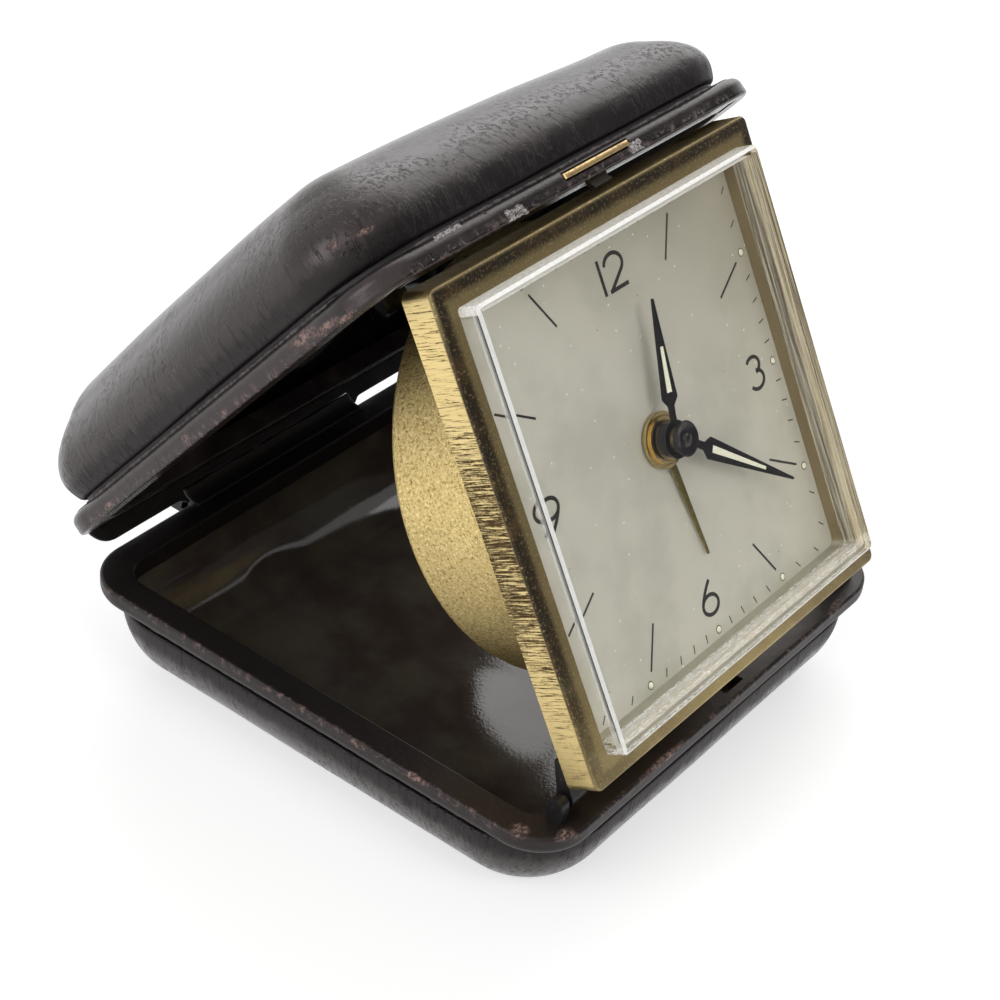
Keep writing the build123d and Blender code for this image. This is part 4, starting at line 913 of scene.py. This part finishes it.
def needle_brass():
    """Alarm hand: a bright turned ring and a needle gone olive."""
    look = Look("needle_brass", Metallic=1.0)
    spot = look.local(CLOCK)
    from_axis = look.length(look.stretch(spot, 1.0, 1.0, 0.0))
    grain = look.noise(spot, 4.0, 4.0, 0.7)
    turned = look.step(look.math("SINE", from_axis * 11.0), -0.2, 0.6)
    ring = look.blend(turned, (0.92, 0.74, 0.38), (0.62, 0.46, 0.19))
    olive = look.blend(look.step(grain, 0.4, 0.65), (0.34, 0.28, 0.1), (0.14, 0.11, 0.035))
    look.finish(Base_Color=look.blend(look.step(from_axis, 3.4, 3.7), ring, olive))
    look.finish(Roughness=look.between(grain, 0.14, 0.3), Normal=look.bump(grain, 0.00003, 0.5))
    return look.material


def catch_brass():
    """Catch: rubbed brass where the thumb meets it, blackened in its pocket and on its hook."""
    look = Look("catch_brass")
    spot = look.local(LID)
    y = look.parts(spot)[1]
    flecks = look.noise(spot, 2.4, 5.0, 0.7)
    face = look.step(y + flecks * 0.3, -37.9, -38.15)
    rubbed = face * look.between(look.step(flecks, 0.66, 0.48), 0.45, 1.0)
    look.finish(Base_Color=look.blend(rubbed, (0.03, 0.022, 0.014), (0.58, 0.42, 0.2)))
    look.finish(Metallic=look.between(rubbed, 0.3, 1.0), Roughness=look.between(flecks, 0.26, 0.5))
    look.finish(Normal=look.bump(flecks, 0.00006, 0.6))
    return look.material


class TRAVELCLOCK_OT_brasswork(bpy.types.Operator):
    """Bezel frame, movement can, catch, keys and knobs"""

    bl_idname = "travel_clock.brasswork"
    bl_label = "Brasswork"

    def execute(self, context):
        brass = context.scene.travel_clock.brass
        dress(frame_brass(), "bezel_frame")
        dress(can_brass(), "movement_can")
        dress(catch_brass(), "catch_bar")
        dress(needle_brass(), "alarm_hand")
        bright = trim_brass("key_brass", tuple(brass.colour), 0.3)
        dress(bright, "time_winding_key", "alarm_winding_key", "hand_set_knob", "alarm_set_knob")
        return {"FINISHED"}


class TRAVELCLOCK_OT_movement(bpy.types.Operator):
    """Plates, wheels and steelwork of the movement"""

    bl_idname = "travel_clock.movement"
    bl_label = "Movement"

    def execute(self, context):
        wheels = trim_brass("wheel_brass", (0.74, 0.57, 0.25), 0.28)
        names = "rear_plate front_plate back_plate pillars dial_posts minute_wheel hour_wheel alarm_wheel"
        names += " time_barrel alarm_barrel centre_wheel third_wheel fourth_wheel escape_wheel balance_wheel"
        dress(wheels, *names.split(), "regulator_lever", "alarm_hammer")
        colours, noise = ((0.42, 0.42, 0.43), (0.6, 0.6, 0.6)), (3.0, 4.0, 0.6)
        steel = grained("movement_steel", CLOCK, noise, colours, (0.2, 0.4), (0.00002, 0.4), Metallic=1.0)
        names = "can_screws centre_arbor alarm_set_arbor time_key_arbor alarm_key_arbor pallet_lever"
        names += " time_mainspring alarm_mainspring hairspring catch_spring alarm_stop_button"
        dress(steel, *names.split())
        return {"FINISHED"}


class TRAVELCLOCK_OT_crystal(bpy.types.Operator):
    """Raised clear crystal with a painted highlight on its bevel and painted light on its pale walls"""

    bl_idname = "travel_clock.crystal"
    bl_label = "Crystal"

    def look(self):
        """Clear plastic, pale and opaque on its walls and bevel as painted light and a painted highlight.
        Lamps shine through it.
        """
        look = Look("clear_crystal", IOR=1.49, Specular_IOR_Level=0.35)
        spot = look.local(CLOCK)
        u, v, w = look.parts(spot)
        light_mottle = look.noise(look.stretch(spot, 1.0, 1.0, 2.0), 1.5, 5.0, 0.75)
        # Painted highlight: a thin pale line on the bevel, for the bright line of light along it
        bevel = look.step(glass_reach(look, u, v), 27.36, 27.42) * look.step(w, 2.63, 2.66)
        # Painted light: the top and bottom walls are pale, in patches low down, for the bright refractions
        # seen in them
        walls = look.step(abs(v) + (CRYSTAL_X - CRYSTAL_Y), 26.7, 26.78)
        walls = walls * look.between(look.step(light_mottle, 0.3, 0.7), 0.55, 0.9)
        light_patches = look.between(look.step(light_mottle, 0.46, 0.62), 0.12, 0.85)
        walls = walls * look.between(look.step(v, -20.0, 20.0), light_patches, 1.0)
        # Painted light: the right wall is warmer, and pale in drawn streaks, for the brass and the dial's
        # edge seen through it
        right = look.step(u, 26.7, 26.78)
        look.finish(Base_Color=look.blend(right, (0.985, 0.972, 0.935), (1.0, 0.93, 0.76)))
        drawn = look.noise(look.stretch(spot, 1.0, 0.04, 2.4), 1.6, 3.0, 0.6)
        right = right * look.between(look.step(drawn, 0.4, 0.62), 0.06, 0.5)
        # Painted light: a band high on the left wall is a little pale, for the light seen in it
        edge = look.step(u, -27.7, -27.78) * look.step(w, 1.65, 1.85) * look.step(w, 2.58, 2.5)
        painted_light = look.most(walls, right, edge * 0.3) * (1.0 - look.step(w, 2.9, 2.95))
        painted_light = look.most(painted_light, bevel * look.between(light_mottle, 0.6, 0.95))
        look.finish(Transmission_Weight=1.0 - painted_light, Roughness=painted_light * 0.2 + 0.01)
        shadow, clear = look.put("LightPath", "Is Shadow Ray", {}), look.put("BsdfTransparent", 0, {})
        mixed = look.put("MixShader", 0, {0: shadow, 1: Wire(look, look.shader.outputs[0]), 2: clear})
        look.fill(look.tree.nodes["Material Output"].inputs["Surface"], mixed)
        return look.material

    def box(self):
        """Points and faces of the crystal: a profile of insets and heights carried round a rounded rectangle.

        The faces are those of the outer wall and the bevel, the inner wall, the foot, and the two flats.
        """
        count = CRYSTAL_AROUND
        rings = []
        for inset, height in CRYSTAL_PROFILE:
            flat = outline_points(count, CRYSTAL_X - inset, CRYSTAL_Y - inset, CRYSTAL_CORNER)[0]
            rings.append(np.concatenate([flat, np.full((count, 1), height)], axis=1))
        ring, band = np.arange(count), grid_faces(2, count, True)
        after = np.roll(ring, -1)
        walls = np.concatenate([band, band + count, band + count * 3])
        foot = np.stack([ring + count * 4, after + count * 4, after, ring], axis=1)
        caps = np.stack([ring + count * 2, ring[::-1] + count * 3])
        return np.stack(rings), [walls, foot, caps]

    def execute(self, context):
        points, faces = self.box()
        look = self.look()
        piece = build_piece("glass_box", CLOCK, points, faces, "clock", look, smooth=False)
        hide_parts("crystal")
        return {"FINISHED"}


def ribbon(path, width, low, high):
    """Flat bar along a path: at each point the section is a rectangle across the local direction.

    The direction is the central difference of the path, and the four corners go half a width to either side.
    Returns points in millimetres and faces. Both ends are closed, and a path that meets itself makes a ring.
    """
    path = np.asarray(path, float)
    closed = len(path) > 2 and np.allclose(path[0], path[-1])
    path = path[:-1] if closed else path
    along = np.roll(path, -1, axis=0) - np.roll(path, 1, axis=0) if closed else np.gradient(path, axis=0)
    along /= np.linalg.norm(along, axis=1, keepdims=True)
    aside = np.stack([-along[:, 1], along[:, 0]], axis=1) * np.broadcast_to(width, len(path))[:, None] / 2
    flat = np.stack([path + aside, path - aside, path - aside, path + aside], axis=1)
    high_low = np.broadcast_to(np.array([high, high, low, low])[None, :, None], (len(path), 4, 1))
    points = np.concatenate([flat, high_low], axis=2)
    faces = grid_faces(len(path), 4, True, closed)
    if closed:
        return points.reshape(-1, 3), faces
    last = (len(path) - 1) * 4
    ends = np.array([[3, 2, 1, 0], [last, last + 1, last + 2, last + 3]])
    return points.reshape(-1, 3), np.concatenate([faces, ends])


def join(shapes):
    """One array of points and one of faces from several shapes."""
    counts = np.cumsum([0] + [len(points) for points, _ in shapes[:-1]])
    points = np.concatenate([points for points, _ in shapes])
    return points, np.concatenate([faces + start for (_, faces), start in zip(shapes, counts)])


def arc(centre, radius, start, end, count=28):
    """Points of a circle's arc, angles in degrees."""
    turn = np.radians(np.linspace(start, end, count))
    return np.stack([centre[0] + radius * np.cos(turn), centre[1] + radius * np.sin(turn)], axis=1)


def line(first, last, count=2):
    """Points of a straight line."""
    return np.linspace(first, last, count)


def turned_rings(radius, height, count):
    """Points of a profile of radius and height turned round the third axis, and faces that look outwards."""
    turn = np.linspace(0, 2 * np.pi, count, endpoint=False)[None]
    flat = [radius[:, None] * np.cos(turn), radius[:, None] * np.sin(turn)]
    points = np.stack([*flat, np.broadcast_to(height[:, None], (radius.size, count))], axis=2)
    return points.reshape(-1, 3), grid_faces(radius.size, count, True)[:, ::-1]


def digit_paths(digit):
    """Strokes of a plain round numeral one unit tall, with its middle at the origin."""
    if digit == "1":
        return [line((0, -0.5), (0, 0.5))]
    if digit == "2":
        bow = arc((0, 0.2), 0.3, 172, -38)
        slope = line(bow[-1], (-0.29, -0.47), 8)[1:]
        return [np.concatenate([bow, slope]), line((-0.32, -0.455), (0.31, -0.455))]
    if digit == "3":
        return [arc((-0.04, 0.235), 0.235, 150, -80), arc((-0.04, -0.205), 0.265, 80, -152)]
    bowl = arc((0, -0.2), 0.275, 0, 360, 48)
    tail = np.array([(-0.262, -0.12), (-0.2, 0.02), (-0.08, 0.2), (0.05, 0.36), (0.16, 0.47)])
    return [bowl, tail] if digit == "6" else [-bowl, -tail]


def way(angle):
    """Direction of an angle clockwise from the top."""
    return np.array([np.sin(angle), np.cos(angle)])


def square_reach(half, angle):
    """Distance from the centre to a square of a half size, along an angle clockwise from the top."""
    return half / max(abs(np.sin(angle)), abs(np.cos(angle)))


def glow_look():
    """Luminous paint: creamy, grainy and dull."""
    dial = bpy.context.scene.travel_clock.dial
    noise, colours = (5.0, 4.0, 0.7), (dial.glow, (0.62, 0.6, 0.42))
    return grained("luminous_paint", CLOCK, noise, colours, (0.6, 0.85), (0.00005, 0.6), (0.35, 0.75))


class TRAVELCLOCK_OT_dial(bpy.types.Operator):
    """Silver dial with its numerals, hour sticks, minute track and luminous dots"""

    bl_idname = "travel_clock.dial"
    bl_label = "Dial"

    def silver(self, dial):
        """Silvered face: grained, clouded, with painted shade darker to its upper right, and pale and dark
        specks.
        """
        look = Look("dial_silver", Metallic=0.35)
        spot = look.local(CLOCK)
        u, v, _ = look.parts(spot)
        grain = look.noise(spot, 6.0, 3.0, 0.7)
        cloud = look.noise(spot, 0.09, 4.0, 0.55)
        tone = look.blend(look.step(cloud, 0.38, 0.64), dial.silver, (0.55, 0.55, 0.485))
        tone = look.blend(look.step(grain, 0.45, 0.8) * 0.4, tone, (0.74, 0.71, 0.62))
        # Painted shade: the silver darkens towards the upper right, where the light falls off
        tone = look.blend(look.step(u * 0.6 + v, 4.0, 40.0) * 0.75, tone, (0.4, 0.38, 0.31))
        tone = look.blend(look.step(look.cells(spot, 0.5), 0.075, 0.045), tone, (0.95, 0.93, 0.86))
        tone = look.blend(look.step(look.cells(spot, 0.31), 0.035, 0.02), tone, (0.16, 0.14, 0.1))
        look.finish(Base_Color=tone, Roughness=look.between(grain, 0.4, 0.52))
        look.finish(Normal=look.bump(grain, 0.00002, 0.4))
        return look.material

    def ink(self, dial):
        """Printed black with faint breaks in its gloss."""
        colours = dial.ink, (0.06, 0.055, 0.05)
        return grained("dial_ink", CLOCK, (6.0, 3.0), colours, (0.35, 0.6), band=(0.6, 0.9))

    def strokes(self, dial):
        """Bars of the numerals, then of the hour sticks and minute ticks, which end on squares."""
        tall, wide = dial.numeral / MM, dial.stroke / MM
        for text, centre in NUMERAL_AT.items():
            last = len(text) - 1
            for number, digit in enumerate(text):
                aside = (number - last / 2) * tall * NUMERAL_PITCH + last * NUMERAL_NUDGE
                shift = np.array(centre) + (aside, 0)
                for path in digit_paths(digit):
                    yield ribbon(path * (tall * NUMERAL_WIDE, tall) + shift, wide, INK_LOW, INK_HIGH)
        for minute in range(60):
            if minute % 15 == 0:
                continue
            angle = radians(minute * 6)
            reach, bar = [square_reach(half, angle) for half in HOUR_STICK], STICK_WIDE
            if minute % 5:
                middle = square_reach(TRACK, angle)
                reach, bar = [middle - TICK_HALF, middle + TICK_HALF], TICK_WIDE
            yield ribbon(line(way(angle) * reach[0], way(angle) * reach[1]), bar, INK_LOW, INK_HIGH)

    def dot(self):
        """Points and faces of one dot: rings whose radius and height follow a quarter circle."""
        dome = np.linspace(np.pi / 2, 0, 7)
        return turned_rings(DOT_RADIUS * np.cos(dome), DIAL_FACE + DOT_RISE * np.sin(dome), 24)

    def execute(self, context):
        dial = context.scene.travel_clock.dial
        dress(self.silver(dial), "dial")
        points, faces = join(list(self.strokes(dial)))
        build_piece("dial_print", CLOCK, points, faces, "clock", self.ink(dial), smooth=False)

        dot, quads = self.dot()
        angles = [radians(hour * 30) for hour in range(12)]
        middles = [square_reach(TRACK, angle) * way(angle) for angle in angles]
        points, faces = join([(dot + (*middle, 0), quads) for middle in middles])
        build_piece("hour_dots", CLOCK, points, faces, "clock", glow_look())
        rims = [ribbon(arc(middle, DOT_RIM, 0, 360, 40), TICK_WIDE, INK_LOW, INK_HIGH) for middle in middles]
        points, faces = join(rims)
        rim = trim_brass("dot_rim", (0.2, 0.2, 0.15), 0.4)
        build_piece("dot_rims", CLOCK, points, faces, "clock", rim, smooth=False)
        return {"FINISHED"}


class TRAVELCLOCK_OT_hands(bpy.types.Operator):
    """Black hands, their luminous fillings and the cap"""

    bl_idname = "travel_clock.hands"
    bl_label = "Hands"

    def cap(self):
        """Points and faces of the cap: a profile turned round the axis, from its pin to its neck."""
        radius = np.array([0.02, 0.3, 0.48, 0.55, 0.75, 1.2, 1.65, 1.95, 2.12, 2.2, 2.16, 2.0, 1.7, 1.3])
        height = np.array([1.5, 1.48, 1.38, 1.2, 1.1, 1.07, 1.12, 1.24, 1.25, 1.14, 1.0, 0.92, 0.88, 0.78])
        points, sides = turned_rings(radius, height, CAP_AROUND)
        return points, [sides, np.arange(CAP_AROUND)[None]]

    def filling(self, angle, length, top, start, share):
        """Points and faces of a filling: a bar along the hand that tapers as the blade does."""
        reach = np.linspace(start, length * share, 12)
        blade = BLADE_WIDE + (BLADE_TIP - BLADE_WIDE) * (reach - BLADE_START) / (length - BLADE_START)
        path = way(radians(angle)) * reach[:, None]
        return ribbon(path, blade * FILLING_SHARE, top + FILLING_LOW, top + FILLING_HIGH)

    def execute(self, context):
        colours = (0.003, 0.0022, 0.0045), (0.009, 0.007, 0.012)
        black = grained("hand_black", CLOCK, (1.2, 3.0), colours, (0.14, 0.26), (0.000004, 0.3), IOR=1.45)
        dress(black, "minute_hand", "hour_hand")

        points, faces = self.cap()
        cap = build_piece("turned_cap", CLOCK, points, faces, "minute", black)
        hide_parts("hand_cap")

        glow = glow_look()
        for hand, values in HANDS.items():
            points, faces = self.filling(*values)
            name = f"{hand}_filling"
            build_piece(name, CLOCK, points, faces, hand, glow, smooth=False)
        return {"FINISHED"}


class TRAVELCLOCK_OT_back_marks(bpy.types.Operator):
    """Engraved turning arrows by the keys and fast and slow marks by the regulator"""

    bl_idname = "travel_clock.back_marks"
    bl_label = "Back Marks"

    def bars(self):
        """Paths and widths: an arc under each key with a tapered head at its end, then a plus and a minus."""
        for centre, turn in KEYS_AT:
            sweep = arc(centre, ARROW_RADIUS, -90 - ARROW_SWEEP * turn, -90 + ARROW_SWEEP * turn)
            yield sweep, ARROW_WIDE
            tip = sweep[-1]
            ahead = (tip - sweep[-2]) / np.linalg.norm(tip - sweep[-2])
            yield line(tip - ahead * 0.2, tip + ahead * 1.5, 4), np.array([1.5, 1.0, 0.5, 0.08])
        level, upright = (MARK_HALF, 0), (0, MARK_HALF)
        for angle, directions in ((28, (level, upright)), (92, (level,))):
            spot = arc(REGULATOR_AT, MARK_REACH, angle, angle, 1)[0]
            for half in directions:
                yield line(spot - half, spot + half), MARK_WIDE

    def execute(self, context):
        points, faces = join([ribbon(path, width, MARK_LOW, MARK_HIGH) for path, width in self.bars()])
        look = trim_brass("engraving", (0.12, 0.085, 0.035), 0.6)
        build_piece("back_marks", CLOCK, points, faces, "clock", look, smooth=False)
        return {"FINISHED"}


class TRAVELCLOCK_OT_studio(bpy.types.Operator):
    """Pale floor, soft light from all round, three large lamps, a dark card and the camera"""

    bl_idname = "travel_clock.studio"
    bl_label = "Studio"

    def place(self, context, name, data):
        """Object of the stage in the scene."""
        item = bpy.data.objects.new(name, data)
        context.scene.collection.objects.link(item)
        return item

    def sheet(self, context, name, corners, look):
        """Sheet of four corners."""
        mesh = bpy.data.meshes.new(name)
        mesh.from_pydata(corners, [], [(0, 1, 2, 3)])
        mesh.materials.append(look.material)
        return self.place(context, name, mesh)

    def execute(self, context):
        studio = context.scene.travel_clock.studio
        scene = context.scene
        scene.view_settings.view_transform = "Standard"

        # Floor that glows a little to all that sees it, and more far out
        look = Look("pale_floor", Base_Color=studio.floor, Roughness=0.9, Specular_IOR_Level=0.1)
        away = look.length(look.put("TexCoord", "Object", {}))
        glow = look.between(look.step(away, 0.2, 0.8), 0.57, 0.82)
        look.finish(Emission_Color=(1.0, 1.0, 1.0), Emission_Strength=look.seen() * glow)
        floor = self.sheet(context, "floor", FLOOR, look)

        world = bpy.data.worlds.new("studio")
        scene.world = world
        world.use_nodes = True
        sky = Graph(world.node_tree)
        back = world.node_tree.nodes["Background"]
        sky.fill(back.inputs["Color"], (1.0, 1.0, 1.0))
        sky.fill(back.inputs["Strength"], sky.between(sky.seen(), studio.sky, 1.0))

        # Dark card to the front and right, seen only in reflections
        look = Look("card_grey", Base_Color=(0.16, 0.16, 0.16), Roughness=0.9)
        card = self.sheet(context, "dark_card", CARD, look)
        card.visible_camera = False
        card.visible_diffuse = False
        card.visible_shadow = False

        for name, (spot, size, share, glossy) in LAMPS.items():
            data = bpy.data.lights.new(name, "AREA")
            data.shape = "SQUARE"
            data.size = size
            data.energy = studio.key * share
            lamp = self.place(context, name, data)
            lamp.location = spot
            lamp.rotation_euler = (Vector(AIM) - Vector(spot)).to_track_quat("-Z", "Y").to_euler()
            lamp.visible_glossy = glossy

        camera = bpy.data.cameras.new("camera")
        camera.sensor_width = 36
        camera.lens = studio.lens
        camera.clip_start = 0.01
        viewer = self.place(context, "camera", camera)
        viewer.location = CAMERA_AT
        viewer.rotation_euler = [radians(angle) for angle in CAMERA_TURN]
        scene.camera = viewer
        return {"FINISHED"}


class TRAVELCLOCK_PT_sidebar(bpy.types.Panel):
    """Settings and steps of the travel clock"""

    bl_label = "Travel Clock"
    bl_space_type = "VIEW_3D"
    bl_region_type = "UI"
    bl_category = "Travel Clock"

    def draw(self, context):
        settings = context.scene.travel_clock
        for group in (settings.leather, settings.brass, settings.dial, settings.studio):
            box = self.layout.box()
            for name in group.__annotations__:
                box.prop(group, name)
        for operator in OPERATORS:
            self.layout.operator(operator.bl_idname)


OPERATORS = (
    TRAVELCLOCK_OT_studio,
    TRAVELCLOCK_OT_covers,
    TRAVELCLOCK_OT_groove_edges,
    TRAVELCLOCK_OT_spine,
    TRAVELCLOCK_OT_tatters,
    TRAVELCLOCK_OT_linings,
    TRAVELCLOCK_OT_brasswork,
    TRAVELCLOCK_OT_movement,
    TRAVELCLOCK_OT_dial,
    TRAVELCLOCK_OT_hands,
    TRAVELCLOCK_OT_crystal,
    TRAVELCLOCK_OT_back_marks,
)
SETTINGS = (LeatherSettings, BrassSettings, DialSettings, StudioSettings, TravelClockSettings)


def register():
    for item in (*SETTINGS, *OPERATORS, TRAVELCLOCK_PT_sidebar):
        bpy.utils.register_class(item)
    bpy.types.Scene.travel_clock = PointerProperty(type=TravelClockSettings)


def unregister():
    del bpy.types.Scene.travel_clock
    for item in reversed((*SETTINGS, *OPERATORS, TRAVELCLOCK_PT_sidebar)):
        bpy.utils.unregister_class(item)


def main():
    register()
    for operator in OPERATORS:
        group, name = operator.bl_idname.split(".")
        getattr(getattr(bpy.ops, group), name)()


if __name__ == "__main__":
    main()
